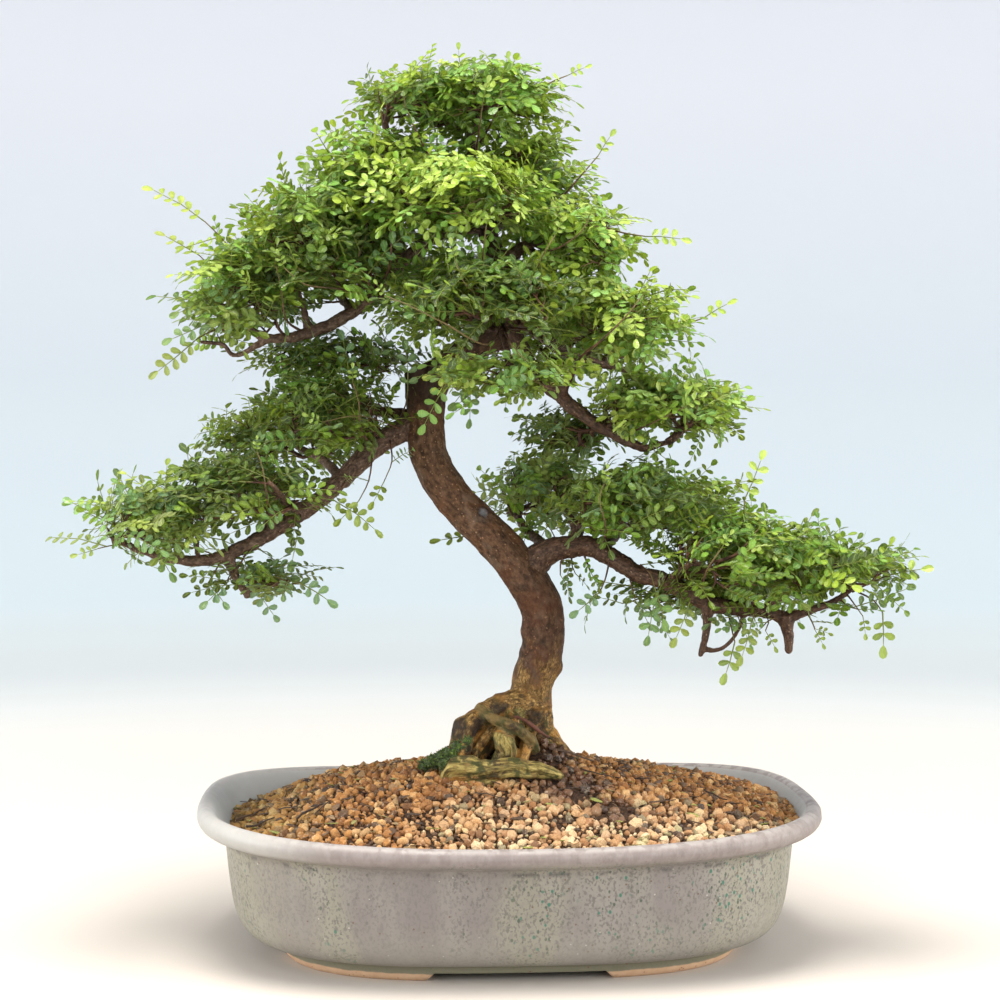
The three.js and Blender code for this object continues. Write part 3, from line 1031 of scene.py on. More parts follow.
def template_bank(name: str, meshes: Sequence[Mesh]) -> Bank:
    """Put shapes in a collection that a tree can pick from.

    Args:
        name: Name of the collection.
        meshes: The shapes, in the order that the tree counts them.

    Returns:
        The collection, linked to the scene.
    """
    bank = bpy.data.collections.new(name)
    bpy.context.scene.collection.children.link(bank)
    for number, mesh in enumerate(meshes):
        bank.objects.link(bpy.data.objects.new(f"{name}_{number:02d}", mesh))
    return bank


def clear_bank(bank: Bank) -> None:
    """Take a collection of shapes out of the scene once all trees have run.

    Args:
        bank: The collection.
    """
    for shape in list(bank.objects):
        bpy.data.objects.remove(shape)
    bpy.data.collections.remove(bank)


@dataclass(frozen=True)
class GranuleFinish:
    """Fired clay and pumice granules: tan and orange brown, some cream, some dark grey."""

    front_reach: tuple[float, float] = (-45 * MM, -92 * MM)
    middle_reach: tuple[float, float] = (-62 * MM, -8 * MM)
    left_reach: tuple[float, float] = (-84 * MM, -122 * MM)
    wet_tint: Colour = (0.24, 0.18, 0.16)
    pit_brown: Colour = (0.20, 0.11, 0.06)
    pale_crumb: Colour = (0.86, 0.72, 0.52)

    def material(self) -> Material:
        """Make the granules' material, with zones by where they lie.

        Returns:
            The material.
        """
        paint = Paint("soil granules")
        tint = paint.value("tint")
        brown = paint.ramp(tint, (
            (0.0, (0.035, 0.019, 0.010)), (0.08, (0.20, 0.075, 0.018)), (0.22, (0.38, 0.160, 0.038)),
            (0.42, (0.50, 0.230, 0.062)), (0.60, (0.27, 0.105, 0.024)), (0.74, (0.58, 0.300, 0.100)),
            (0.86, (0.68, 0.42, 0.180)), (0.94, (0.14, 0.078, 0.040)), (1.0, (0.045, 0.038, 0.034)),
        ))
        pale = paint.ramp(tint, (
            (0.0, (0.060, 0.040, 0.030)), (0.10, (0.38, 0.180, 0.070)), (0.30, (0.60, 0.355, 0.170)),
            (0.50, (0.76, 0.530, 0.300)), (0.64, (0.40, 0.190, 0.080)), (0.80, (0.83, 0.64, 0.40)),
            (0.92, (0.52, 0.46, 0.24)), (1.0, (0.09, 0.070, 0.065)),
        ))
        yellow = paint.ramp(tint, (
            (0.0, (0.05, 0.035, 0.015)), (0.15, (0.33, 0.190, 0.040)), (0.45, (0.46, 0.290, 0.075)),
            (0.70, (0.30, 0.135, 0.036)), (0.88, (0.58, 0.41, 0.15)), (1.0, (0.10, 0.07, 0.035)),
        ))
        drift = paint.times(paint.math("SUBTRACT", paint.cloud(34, 2), 0.5), 90 * MM)
        across = paint.plus(paint.axis("X"), drift)
        front = paint.band(paint.plus(paint.axis("Y"), drift), *self.front_reach)
        middle = paint.band(across, *self.middle_reach)
        colour = paint.blend(paint.times(front, middle), brown, pale)
        left = paint.band(across, *self.left_reach)
        colour = paint.blend(paint.times(left, 0.8), colour, yellow)
        wet = paint.value("damp")
        dark = paint.blend(1.0, colour, self.wet_tint, "MULTIPLY")
        colour = paint.blend(wet, colour, dark)
        grain = paint.cloud(0.7, 4, 0.7)
        colour = paint.blend(paint.band(grain, 0.35, 0.62, 0.45, 0), colour, self.pit_brown)
        colour = paint.blend(paint.band(paint.cloud(1.6, 3), 0.55, 0.75, 0, 0.35), colour, self.pale_crumb)
        rough = paint.math("SUBTRACT", 0.92, paint.times(wet, 0.6))
        relief = paint.height(grain, 0.34)
        relief = paint.height(paint.cloud(2.1, 2), 0.5, relief)
        return paint.done(colour, rough, relief)


@dataclass(frozen=True)
class EarthFinish:
    """The fine dark soil between the granules."""

    def material(self) -> Material:
        """Make the material.

        Returns:
            The material.
        """
        paint = Paint("fine earth")
        grain = paint.cloud(1.3, 4, 0.7)
        colour = paint.ramp(grain, (
            (0.3, (0.012, 0.007, 0.005)), (0.5, (0.045, 0.021, 0.010)), (0.72, (0.14, 0.065, 0.026)),
        ))
        return paint.done(colour, 0.95, paint.height(grain, 0.9))


@dataclass
class SoilBed:
    """The mound of soil in the pot, heaped up round the trunk, and the granules on it."""

    half_length: float = 147.4
    half_width: float = 117.0
    edge: float = 65.0
    crest: float = 98.5
    swell: float = 1.5
    west_drop: float = 5.5
    west_tuck: float = 0.026
    west_from: float = 78.0
    west_to: float = 138.0
    heaps: tuple[tuple[float, float, float, float], ...] = ((17, -6, 15, 16), (-9, -10, 9, 12))
    wet_spots: tuple[tuple[float, float, float], ...] = (
        (28, -45, 27), (21, -12, 21), (48, -70, 15), (-8, -14, 14)
    )
    rings: int = 64
    spacing: float = 2.95
    density: float = 900000.0
    radii: tuple[float, float] = (0.9, 3.2)
    shapes: int = 8
    inner_wall: tuple[Spot, ...] = (
        (138.6, 109.8, 46), (135.6, 107.4, 30), (130, 102.4, 20.6), (111, 86, 15.6)
    )

    def level(self, part: np.ndarray, rows: np.ndarray) -> np.ndarray:
        """Give the mound's height.

        Args:
            part: How far out each point lies, from 0 in the middle to 1 at the wall.
            rows: Its x and y, in millimetres.

        Returns:
            The heights in millimetres.
        """
        base = self.edge + (self.crest - self.edge) * (1 - part**self.swell)
        base = base - self.west_drop * smooth_step(-rows[..., 0], self.west_from, self.west_to)
        for x, y, height, reach in self.heaps:
            away = np.linalg.norm(rows[..., :2] - (x, y), axis=-1)
            base = base + height * bell(away, reach)
        return base

    def surface(self, pot: GlazedPot, sink: float, closed: bool) -> Skin:
        """Make the mound's top.

        Args:
            pot: The pot whose plan it follows.
            sink: How far below the granules it lies, in millimetres.
            closed: Whether it goes on down the inside of the wall and over the floor.

        Returns:
            The mound.
        """
        ring = pot.plan(150)
        turns = len(ring)
        parts = np.linspace(0, 1, self.rings + 1)[1:]
        flat = parts[:, None, None] * ring[None] * (self.half_length, self.half_width)
        tops = self.level(np.repeat(parts[:, None], turns, 1), flat)
        grid = pot.lifted(np.concatenate([flat, tops[..., None]], -1)).reshape(-1, 3)
        grid[:, 2] += 1.1 * lumps(grid, 16, 3.1) - sink
        grid[:, :2] *= 1 - self.west_tuck * smooth_step(-grid[:, :1], self.west_from, self.west_to)
        centre = np.array([[0, 0, grid[:turns, 2].mean()]])
        index = np.arange(len(grid)).reshape(-1, turns)
        points = np.vstack([grid, centre])
        shell = [*ring_faces(index, flip=True), *fan_faces(len(grid), index[0])]
        if closed:
            above = index[-1]
            for length, width, level in self.inner_wall:
                below = np.arange(len(points), len(points) + turns)
                points = np.vstack([points, np.hstack([ring * (length, width), np.full((turns, 1), level)])])
                shell += [
                    (a, c, d, b) for a, b, c, d in zip(above, np.roll(above, -1), below, np.roll(below, -1))
                ]
                above = below
            points = np.vstack([points, [0, 0, self.inner_wall[-1][2]]])
            shell += fan_faces(len(points) - 1, above, flip=True)
        damp = self.damp(points)
        skin = Skin()
        skin.add(placed(points), shell, damp=damp, cover=1 - 0.35 * smooth_step(damp, 0.35, 0.85))
        return skin

    def damp(self, rows: np.ndarray) -> np.ndarray:
        """Say how wet the soil is, most of all in front and right of the roots.

        Args:
            rows: Points in millimetres.

        Returns:
            A share from 0 to 1 for each point.
        """
        wet = np.zeros(len(rows))
        for x, y, reach in self.wet_spots:
            away = np.linalg.norm(rows[:, :2] - (x, y), axis=1) + 7 * lumps(rows, 9, 8.4)
            wet = np.maximum(wet, 1 - smooth_step(away, 0.55 * reach, reach))
        return wet

    def granule(self, seed: int) -> Mesh:
        """Make one granule: a broken crumb with worn flat sides, one millimetre in radius.

        Args:
            seed: Which crumb.

        Returns:
            Its mesh.
        """
        work = bmesh.new()
        bmesh.ops.create_cube(work, size=1.3)
        bmesh.ops.poke(work, faces=work.faces[:])
        chance = random.Random(seed)
        stretch = [chance.uniform(1.0, 1.4), chance.uniform(0.85, 1.1), chance.uniform(0.7, 0.95)]
        sides = []
        for _ in range(7):
            way = Vector([chance.gauss(0, 1) for _ in range(3)]).normalized()
            sides.append((way, chance.uniform(0.72, 0.95)))
        for corner in work.verts:
            spot = corner.co.normalized() * chance.uniform(0.98, 1.12)
            for way, limit in sides:
                spot -= way * max(0.0, spot.dot(way) - limit)
            corner.co = Vector([c * s for c, s in zip(spot, stretch)]) * MM
        mesh = bpy.data.meshes.new("granule")
        work.to_mesh(mesh)
        work.free()
        if seed % 3 == 0:
            mesh.shade_smooth()
        return mesh

    def build(self, pot: GlazedPot, strew: GraphTree) -> tuple[Piece, Piece]:
        """Make the mound and strew it with granules.

        Args:
            pot: The pot that holds it.
            strew: The tree that strews shapes.

        Returns:
            The mound and the granules.
        """
        mound = thing("soil_mound", self.surface(pot, 1.0, True).mesh("soil_mound"), EarthFinish().material())
        bank = template_bank("granule", [self.granule(k) for k in range(self.shapes)])
        granules = strew.run(
            "soil_granules", self.surface(pot, 0.2, False).mesh("soil_granules"), Shapes=bank,
            Spacing=self.spacing * MM, Density=self.density, Smallest=self.radii[0], Largest=self.radii[1],
            Upright=0.0, Seed=4, Finish=GranuleFinish().material(),
        )
        clear_bank(bank)
        return mound, granules


@dataclass
class Limbs:
    """Round limbs of wood along smooth routes, and a record of where they run."""

    step: float = 1.6
    collar_swell: float = 0.42
    samples: list[np.ndarray] = field(default_factory=list)

    def tube(
        self, stops: Sequence[Stop] | np.ndarray, sides: int, collar: float = 0.0, kink: float = 0.0,
        seed: int = 0
    ) -> tuple[np.ndarray, list]:
        """Make one closed, tapered limb and note its course.

        Args:
            stops: Rows of x, y, z and radius, in millimetres.
            sides: Corners of its section.
            collar: How far the swelling at its start reaches, in millimetres.
            kink: How far it strays from a smooth line, in millimetres.
            seed: Which way it strays.

        Returns:
            Its points in metres and its faces.
        """
        line = route(np.array(stops, float), self.step)
        along = run_along(line[:, :3])
        if kink:
            sway = [lumps(line[:, :3], 7, seed + 5.1 * axis) for axis in range(3)]
            line[:, :3] += kink * np.stack(sway, -1) * smooth_step(along, 0, 6)[:, None]
        if collar:
            line[:, 3] *= 1 + self.collar_swell * bell(along, collar)
        tangent = unit(np.gradient(line[:, :3], axis=0))
        across = np.zeros_like(tangent)
        side = np.cross((0.31, 0.9, 0.23), tangent[0])
        for k, way in enumerate(tangent):
            side = unit(side - way * (side @ way))
            across[k] = side
        beside = np.cross(tangent, across)
        self.samples.append(np.hstack([line, along[:, None], tangent, across, beside]))
        angle = even_angles(sides)
        cos, sin = np.cos(angle)[None, :, None], np.sin(angle)[None, :, None]
        spokes = across[:, None] * cos + beside[:, None] * sin
        rings = line[:, None, :3] + spokes * line[:, None, 3:4]
        tip = line[-1, :3] + tangent[-1] * line[-1, 3] * 0.75
        round_off = line[-1, :3] + tangent[-1] * line[-1, 3] * 0.5 + spokes[-1] * line[-1, 3] * 0.68
        rings = np.concatenate([rings, round_off[None]])
        count = len(rings)
        index = np.arange(count * sides).reshape(count, sides)
        first, last = count * sides, count * sides + 1
        faces = ring_faces(index)
        faces += fan_faces(first, index[0], flip=True) + fan_faces(last, index[-1])
        points = np.vstack([rings.reshape(-1, 3), line[0, :3], tip])
        return placed(points), faces

    def table(self) -> np.ndarray:
        """Give every noted sample: place, radius, run, tangent, across and beside, in millimetres."""
        return np.vstack(self.samples)

    def nearest(self, points: np.ndarray) -> tuple[np.ndarray, np.ndarray]:
        """Find the limb's course nearest to each point.

        Args:
            points: Rows of x, y, z in metres.

        Returns:
            For each point the sample's number, and the point in straightened coordinates: two
            across the limb and one along it, in metres.
        """
        rows = self.table()
        tree = kdtree.KDTree(len(rows))
        for number, row in enumerate(rows):
            tree.insert(row[:3], number)
        tree.balance()
        local = (points - POT_MIDDLE) / MM
        found = np.array([tree.find(p)[1] for p in local])
        near = rows[found]
        away = local - near[:, :3]
        flat = [np.sum(away * near[:, 8:11], 1), np.sum(away * near[:, 11:14], 1)]
        return found, np.stack([*flat, near[:, 4] + np.sum(away * near[:, 5:8], 1)], -1) * MM


def melted(
    name: str, limbs: Iterable[tuple[np.ndarray, list]], voxel: float, rounds: int, keep: float
) -> Mesh:
    """Melt closed limbs into one smooth skin.

    Args:
        name: Name of the mesh.
        limbs: Points and faces of each limb.
        voxel: Size of the skin's faces, in millimetres.
        rounds: How often it is smoothed.
        keep: The share of its faces that is kept.

    Returns:
        The mesh.
    """
    skin = Skin()
    for points, faces in limbs:
        skin.add(points, faces)
    rough = thing(name, skin.mesh(name))
    remesh = rough.modifiers.new("melt", "REMESH")
    remesh.mode = "VOXEL"
    remesh.voxel_size = voxel * MM
    soften = rough.modifiers.new("soften", "SMOOTH")
    soften.factor = 0.5
    soften.iterations = rounds
    thin = rough.modifiers.new("thin", "DECIMATE")
    thin.ratio = keep
    settled(rough)
    mesh = rough.data
    bpy.data.objects.remove(rough)
    mesh.shade_smooth()
    return mesh


class MarkKind(Enum):
    """The marks that growth and pruning left on the trunk."""

    SCAR = "round healed cut"
    KNOT = "knot with a hollow"
    BUMP = "swelling"
    CREASE = "fold across the grain"


@dataclass(frozen=True)
class Mark:
    """One mark on the trunk."""

    kind: MarkKind
    place: Spot
    reach: float

    def relief(self, points: np.ndarray, seat: np.ndarray) -> np.ndarray:
        """Give how far the bark stands out round the mark.

        Args:
            points: Points of the bark, in millimetres.
            seat: The point of the bark that the mark sits on.

        Returns:
            The heights in millimetres.
        """
        away = points - seat
        part = np.linalg.norm(away, axis=1) / self.reach
        if self.kind is MarkKind.SCAR:
            return 0.6 * bell(part - 1, 0.24) + 0.35 * bell(part - 1.75, 0.24) - 0.7 * bell(part, 0.62)
        if self.kind is MarkKind.KNOT:
            return 1.5 * bell(part) - 1.5 * bell(part, 0.36)
        if self.kind is MarkKind.BUMP:
            return 1.7 * bell(part)
        tilt = away[:, 2] + 0.16 * away[:, 0]
        near = bell(part, power=4)
        return -0.75 * bell(tilt, 0.7) * near + 0.3 * bell(tilt - 1.6, 0.9) * near


@dataclass(frozen=True)
class BarkFinish:
    """Trunk bark: red brown with grey patches and tan flecks, gold, lime and olive on the roots."""

    shade_levels: tuple[float, float] = (208 * MM, 182 * MM)
    root_levels: tuple[float, float] = (152 * MM, 120 * MM)
    red_brown: Colour = (0.135, 0.048, 0.016)
    worn_grey: Colour = (0.170, 0.118, 0.082)
    shade_tint: Colour = (0.72, 0.66, 0.62)
    root_gold: Colour = (0.52, 0.230, 0.034)
    root_rust: Colour = (0.23, 0.125, 0.045)
    dark_olive: Colour = (0.050, 0.036, 0.012)
    pale_olive: Colour = (0.235, 0.170, 0.060)
    dark_red: Colour = (0.05, 0.018, 0.012)
    pale_red: Colour = (0.24, 0.095, 0.060)
    brown_hollow: Colour = (0.030, 0.018, 0.009)
    green_hollow: Colour = (0.034, 0.042, 0.010)
    dark_scar: Colour = (0.07, 0.07, 0.08)
    pale_scar: Colour = (0.24, 0.23, 0.25)
    stain_and_shade: Colour = (0.018, 0.011, 0.008)

    def material(self) -> Material:
        """Make the material, which reads grain, lime, smooth, red, crevice, scar and dark; crevice and dark
        hold painted shade as well as moss, stains and old cut wood.

        Returns:
            The material.
        """
        paint = Paint("trunk bark")
        grain = paint.value("grain", "Vector")
        level = paint.axis("Z")
        mottle = paint.cloud(2.3, 5, 0.68, at=grain, squash=0.62)
        base = paint.ramp(mottle, (
            (0.30, (0.018, 0.009, 0.004)), (0.43, (0.055, 0.026, 0.011)), (0.54, (0.105, 0.050, 0.022)),
            (0.70, (0.175, 0.095, 0.045)),
        ))
        red = paint.band(paint.cloud(15, 3), 0.48, 0.64, 0, 0.45)
        base = paint.blend(red, base, self.red_brown)
        grey = paint.band(paint.cloud(9, 4), 0.52, 0.68, 0, 0.42)
        base = paint.blend(grey, base, self.worn_grey)
        fleck = paint.band(paint.cells(1.5, at=grain, squash=0.75), 0.34, 0.18)
        fleck = paint.times(fleck, paint.band(paint.cloud(2.1, 2), 0.50, 0.60))
        fleck_tone = paint.ramp(paint.cloud(7, 2), (
            (0.35, (0.36, 0.165, 0.070)), (0.65, (0.38, 0.25, 0.150)),
        ))
        upper = paint.blend(paint.times(fleck, 0.7), base, fleck_tone)
        fine = paint.cloud(1.25, 5, 0.72, at=grain, squash=0.5)
        # Painted shade: the bark is darkened below the branches, where the crown shades it.
        low_shade = paint.band(level, *self.shade_levels)
        upper = paint.blend(low_shade, upper, self.shade_tint, "MULTIPLY")
        tan = paint.ramp(fine, (
            (0.36, (0.036, 0.021, 0.007)), (0.46, (0.130, 0.070, 0.019)), (0.55, (0.320, 0.180, 0.050)),
            (0.66, (0.620, 0.420, 0.150)),
        ))
        gold = paint.band(paint.cloud(9, 3), 0.47, 0.63, 0, 0.5)
        tan = paint.blend(gold, tan, self.root_gold)
        drift = paint.times(paint.math("SUBTRACT", paint.cloud(9, 4), 0.5), 80 * MM)
        low = paint.band(paint.plus(level, drift), *self.root_levels)
        colour = paint.blend(paint.times(low, 0.9), upper, tan)
        lines = paint.cloud(1.6, 4, 0.66, at=grain, squash=0.24)
        lime = paint.ramp(lines, (
            (0.34, (0.022, 0.017, 0.006)), (0.45, (0.135, 0.108, 0.027)), (0.56, (0.345, 0.270, 0.080)),
            (0.70, (0.580, 0.460, 0.160)),
        ))
        rusty = paint.band(paint.cloud(5, 3), 0.52, 0.66, 0, 0.5)
        lime = paint.blend(rusty, lime, self.root_rust)
        colour = paint.blend(paint.value("lime"), colour, lime)
        olive = paint.blend(mottle, self.dark_olive, self.pale_olive)
        colour = paint.blend(paint.times(paint.value("smooth"), 0.8), colour, olive)
        colour = paint.blend(paint.value("red"), colour, paint.blend(lines, self.dark_red, self.pale_red))
        # Crevices low on the trunk: partly green moss, partly painted shade darkening the recesses.
        moss_and_shade_patches = paint.band(paint.cloud(4, 4), 0.40, 0.56)
        shaded = paint.times(moss_and_shade_patches, paint.band(paint.value("crevice"), 0.1, 0.9, 0, 0.88))
        green = paint.band(paint.cloud(8, 3), 0.44, 0.58)
        hollow = paint.blend(green, self.brown_hollow, self.green_hollow)
        colour = paint.blend(shaded, colour, hollow)
        healed = paint.blend(mottle, self.dark_scar, self.pale_scar)
        colour = paint.blend(paint.value("scar"), colour, healed)
        # Dark stains and old cut wood, and painted shade in hollows, inside the arch and on the leader.
        colour = paint.blend(paint.value("dark"), colour, self.stain_and_shade)
        relief = paint.height(mottle, 0.55)
        relief = paint.height(fleck, 0.16, relief)
        relief = paint.height(fine, 0.28, relief)
        return paint.done(colour, paint.band(mottle, 0.3, 0.7, 0.84, 0.62), relief, Specular_IOR_Level=0.35)


@dataclass
class Trunk:
    """The trunk, the leader that goes on from its cut top, and the exposed roots, one grown piece."""

    voxel: float = 0.82
    cut_place: Spot = (-42.7, 6.2, 300.4)
    cut_way: Spot = (-0.47, 0.0, 0.883)
    cut_reach: float = -34.5
    cut_above: float = 285.0
    bark_ring: tuple[float, float, float, float] = (-45.5, 6.5, 6.8, 1.6)
    stem: tuple[tuple[Stop, ...], ...] = (
        ((14, 2, 80, 14), (14, 1, 96, 12.6), (13, 0, 112, 11.4), (12.4, -1, 124, 10.9), (14, -2, 136, 10.8),
         (17, -3, 145, 11), (19, -5, 159, 11), (17, -7, 174, 11.2), (8, -8, 190, 10.7), (-4, -7, 205, 10.4),
         (-19, -4, 220, 10), (-32, -1, 235, 9.9), (-40, 3, 250, 9.9), (-42, 5, 266, 10), (-42, 6, 281, 10),
         (-41, 7, 289, 9.5)),
        ((-42, 6, 282, 8.4), (-32, 6, 298, 8.1), (-18, 7, 308, 7.6), (-5, 6, 315, 7.1), (3, 4, 327, 6.6),
         (3, 0, 339, 5.8), (-4, -3, 352, 5.2), (-10, -3, 368, 4.4), (-15, -2, 385, 3.7), (-18, 1, 403, 2.9),
         (-18, 1, 421, 2.4), (-11, -1, 436, 1.8), (-5, -3, 447, 1)),
        ((-45, 6, 283, 7.9), (-47.5, 7, 303, 6.6)),
    )
    roots: tuple[tuple[Stop, ...], ...] = (
        ((8.6, -6, 121, 7.5), (1.1, -10, 122.6, 7.2), (-5.9, -13.6, 122, 6), (-12.4, -18.2, 117.9, 5.4),
         (-18.8, -21.7, 115.1, 5.6), (-23.2, -24.4, 111.2, 6.2), (-25.2, -26.3, 105.6, 6),
         (-27, -27.2, 100, 5.6), (-30.4, -28, 92.3, 5.6), (-32.9, -27.9, 82, 5.1)),
        ((9, -8, 110, 10.5), (0, -10, 108, 9), (-9, -12, 106, 8.5), (-17, -16, 101, 8), (-22, -20, 90, 7)),
        ((-16, -20, 119.4, 2), (-13, -23, 119, 2.3), (-7.8, -27.5, 117, 2.8), (-1.3, -30, 114.7, 3.1),
         (4.9, -29.4, 111.2, 3.1), (10.9, -24.8, 105.3, 3), (13, -20, 100, 3)),
        ((3, -9, 117, 5.5), (1.7, -16.2, 115.5, 4.6), (-0.6, -23, 111.5, 4.9), (-3, -27.3, 106, 5.9),
         (-1.4, -28.6, 100, 5.2), (-4.4, -29.6, 94, 5.8), (-3.9, -29.8, 84, 4.4)),
        ((12, -12, 112, 4), (10.9, -18.8, 109, 3.6), (8.4, -24.6, 103.8, 3.3), (7, -28.5, 98.2, 3),
         (6.9, -30.5, 88, 2.4)),
        ((-2, -8, 119, 5), (-7.8, -19.5, 112.5, 3.2), (-12.2, -24.2, 107, 2.6), (-16.5, -27, 101.3, 2.3),
         (-19.7, -28.8, 92, 2)),
        ((-33, -28.9, 84.3, 4.6), (-28.6, -33.2, 91, 7), (-21.1, -36.7, 92.4, 7.2),
         (-12.6, -39.3, 92.6, 5.5), (-4.6, -40.8, 93.6, 4.9), (3, -41.3, 93.9, 4.8), (11.6, -40.9, 92.4, 4),
         (18.8, -40.3, 91.4, 3.4), (25.2, -37.8, 89.2, 2)),
        ((-32.5, -30.9, 85, 3), (-25.2, -37.4, 84.4, 3.6), (-16.2, -40, 84.8, 3), (-7.6, -40.6, 86.3, 2.3)),
        ((-5.8, -36.7, 88.3, 3.3), (-7.1, -41, 82.9, 4), (-7.7, -42, 75, 3.5)),
        ((17, -3, 111, 6.3), (24, -4, 103, 3.9), (33, -2, 94, 2.6), (43, 1, 85, 1.6)),
        ((13, 7, 104, 6.9), (20, 23, 97, 4.8), (28, 40, 88, 3), (34, 56, 78, 1.7)),
        ((6, 6, 102, 6.5), (-6, 18, 97, 5), (-20, 30, 88, 3.2)),
        ((3.6, -21.5, 118, 0.8), (7.3, -25.2, 115.8, 1.1), (12.4, -25.5, 112.4, 1.2), (17.3, -22.8, 109, 1),
         (23.5, -17, 104, 0.8)),
    )
    # Spots of painted shade in the hollows between the roots.
    shade_spots: tuple[tuple[float, float, float, float, float], ...] = (
        (-5.1, -22, 122.1, 6.5, 0.85), (-17.1, -26, 112.9, 6.5, 0.9), (-10.7, -29, 105.1, 4.5, 0.9),
        (13.8, -13.5, 115.3, 6.5, 0.8), (-26.5, -27.5, 112, 9, 0.8), (-22, -30, 101, 5, 0.8),
        (3, -30, 104, 3.5, 0.7), (18, -12, 108, 6, 0.75),
    )
    lime_roots: tuple[int, ...] = (3, 6, 7, 8)
    red_root: int = 12
    core_root: int = 1
    cross_root: int = 2
    marks: tuple[Mark, ...] = (
        Mark(MarkKind.SCAR, (-12.5, -12.2, 222.7), 2.9), Mark(MarkKind.KNOT, (18.0, -15.5, 155.5), 4.2),
        Mark(MarkKind.BUMP, (6.9, -9.5, 160.1), 4.6), Mark(MarkKind.CREASE, (12.8, -13.9, 147.4), 8.0),
        Mark(MarkKind.CREASE, (22.0, -11.6, 141.4), 7.0), Mark(MarkKind.KNOT, (-46.0, -1.5, 262.0), 3.6),
        Mark(MarkKind.KNOT, (-24.0, -28.0, 114.0), 2.6), Mark(MarkKind.BUMP, (29.5, -4.0, 140.0), 5.0),
        Mark(MarkKind.BUMP, (8.0, 6.0, 203.0), 5.0), Mark(MarkKind.KNOT, (-30.0, 14.5, 243.0), 4.0),
        Mark(MarkKind.CREASE, (-33.0, -3.0, 268.0), 7.0), Mark(MarkKind.KNOT, (20.0, 5.5, 170.0), 3.8),
        Mark(MarkKind.BUMP, (-26.0, -29.0, 115.0), 4.5), Mark(MarkKind.BUMP, (-14.0, -20.0, 122.0), 4.0),
        Mark(MarkKind.BUMP, (-4.0, -33.0, 104.0), 4.0), Mark(MarkKind.CREASE, (-8.0, -16.0, 126.0), 5.0),
        Mark(MarkKind.BUMP, (-28.0, -40.0, 93.0), 5.0), Mark(MarkKind.CREASE, (-14.0, -44.0, 94.0), 4.0),
    )

    def build(self) -> tuple[Piece, Limbs]:
        """Melt stem and roots into one skin, carve its bark and cut its stub.

        Returns:
            The piece, and where its limbs run.
        """
        limbs = Limbs()
        shapes = [limbs.tube(stops, 26) for stops in self.stem]
        kinds = [np.zeros(len(rows)) for rows in limbs.samples]
        for number, stops in enumerate(self.roots):
            shapes.append(limbs.tube(stops, 20, kink=0.6, seed=number))
            level = 2.0 if number in self.lime_roots else 1.0
            level = {self.red_root: 3.0, self.core_root: 4.0, self.cross_root: 5.0}.get(number, level)
            kinds.append(np.full(len(limbs.samples[-1]), level))
        mesh = melted("trunk_with_roots", shapes, self.voxel, 3, 0.62)
        points, normals = read_points(mesh), read_normals(mesh)
        found, grain = limbs.nearest(points)
        local = (points - POT_MIDDLE) / MM
        near = limbs.table()[found]
        tight = np.linalg.norm(local - near[:, :3], axis=1) < 1.3 * near[:, 3] + 0.5
        kind = np.concatenate(kinds)[found]
        kind = np.where(tight, kind, np.minimum(kind, 1))
        out = self.relief(local, grain / MM, np.minimum(kind, 2))
        scar, stain_and_shade = np.zeros(len(local)), np.zeros(len(local))
        for mark in self.marks:
            seat = local[int(np.argmin(np.linalg.norm(local - np.array(mark.place), axis=1)))]
            part = np.linalg.norm(local - seat, axis=1) / mark.reach
            out = out + mark.relief(local, seat)
            if mark.kind is MarkKind.SCAR:
                scar = bell(part, 0.85, 6)
                stain_and_shade = np.maximum(stain_and_shade, 0.95 * bell(part - 1.06, 0.17))
                stain_and_shade = np.maximum(stain_and_shade, 0.5 * bell(part - 2.0, 0.14))
            # A knot's hollow is darkened as painted shade.
            if mark.kind is MarkKind.KNOT:
                stain_and_shade = np.maximum(stain_and_shade, 0.8 * bell(part, 0.45))
        local = local + normals * out[:, None]
        over = (local - self.cut_place) @ np.array(self.cut_way)
        cut = (over > 0) & (local[:, 0] < self.cut_reach) & (local[:, 2] > self.cut_above)
        local[cut] -= over[cut, None] * np.array(self.cut_way)
        move_points(mesh, placed(local))
        write_value(mesh, "grain", grain)
        lime = smooth_step(kind + 0.25 * lumps(local, 5, 2.2), 1.3, 1.9)
        write_value(mesh, "lime", 0.9 * lime * (kind < 2.5))
        write_value(mesh, "red", (kind == 3).astype(float))
        write_value(mesh, "smooth", (kind == 5).astype(float))
        write_value(mesh, "scar", scar)
        # The crevice mask: painted shade in the dips of the bark low down, and patches near the roots where
        # moss and painted shade darken it.
        shade = smooth_step(-out, -0.2, 0.9) * smooth_step(local[:, 2], 150, 112)
        hollow = smooth_step(lumps(local, 11, 4.4) + 0.5 * lumps(local, 4, 1.7), -0.15, 0.5)
        write_value(mesh, "crevice", shade + hollow * smooth_step(local[:, 2], 132, 112))
        x, y, radius, width = self.bark_ring
        rim = np.abs(np.linalg.norm(local[:, :2] - (x, y), axis=1) - radius) < width
        # Painted shade on the front of the core root inside the arch.
        core = 0.92 * (kind == 4) * smooth_step(-local[:, 1], 7, 13)
        stain_and_shade = np.maximum(np.maximum(stain_and_shade, self.shadow(local)), core)
        # Painted shade on the leader above the stub, under the crown.
        stain_and_shade = np.maximum(stain_and_shade, 0.6 * smooth_step(local[:, 2], 296, 314))
        stain_and_shade = np.maximum(stain_and_shade, 0.75 * smooth_step(local[:, 2], 272, 286) * (local[:, 0] < -34))
        write_value(mesh, "dark", np.where(cut, np.where(rim, 0.95, 0.7), stain_and_shade))
        return thing("trunk_and_roots", mesh, BarkFinish().material()), limbs

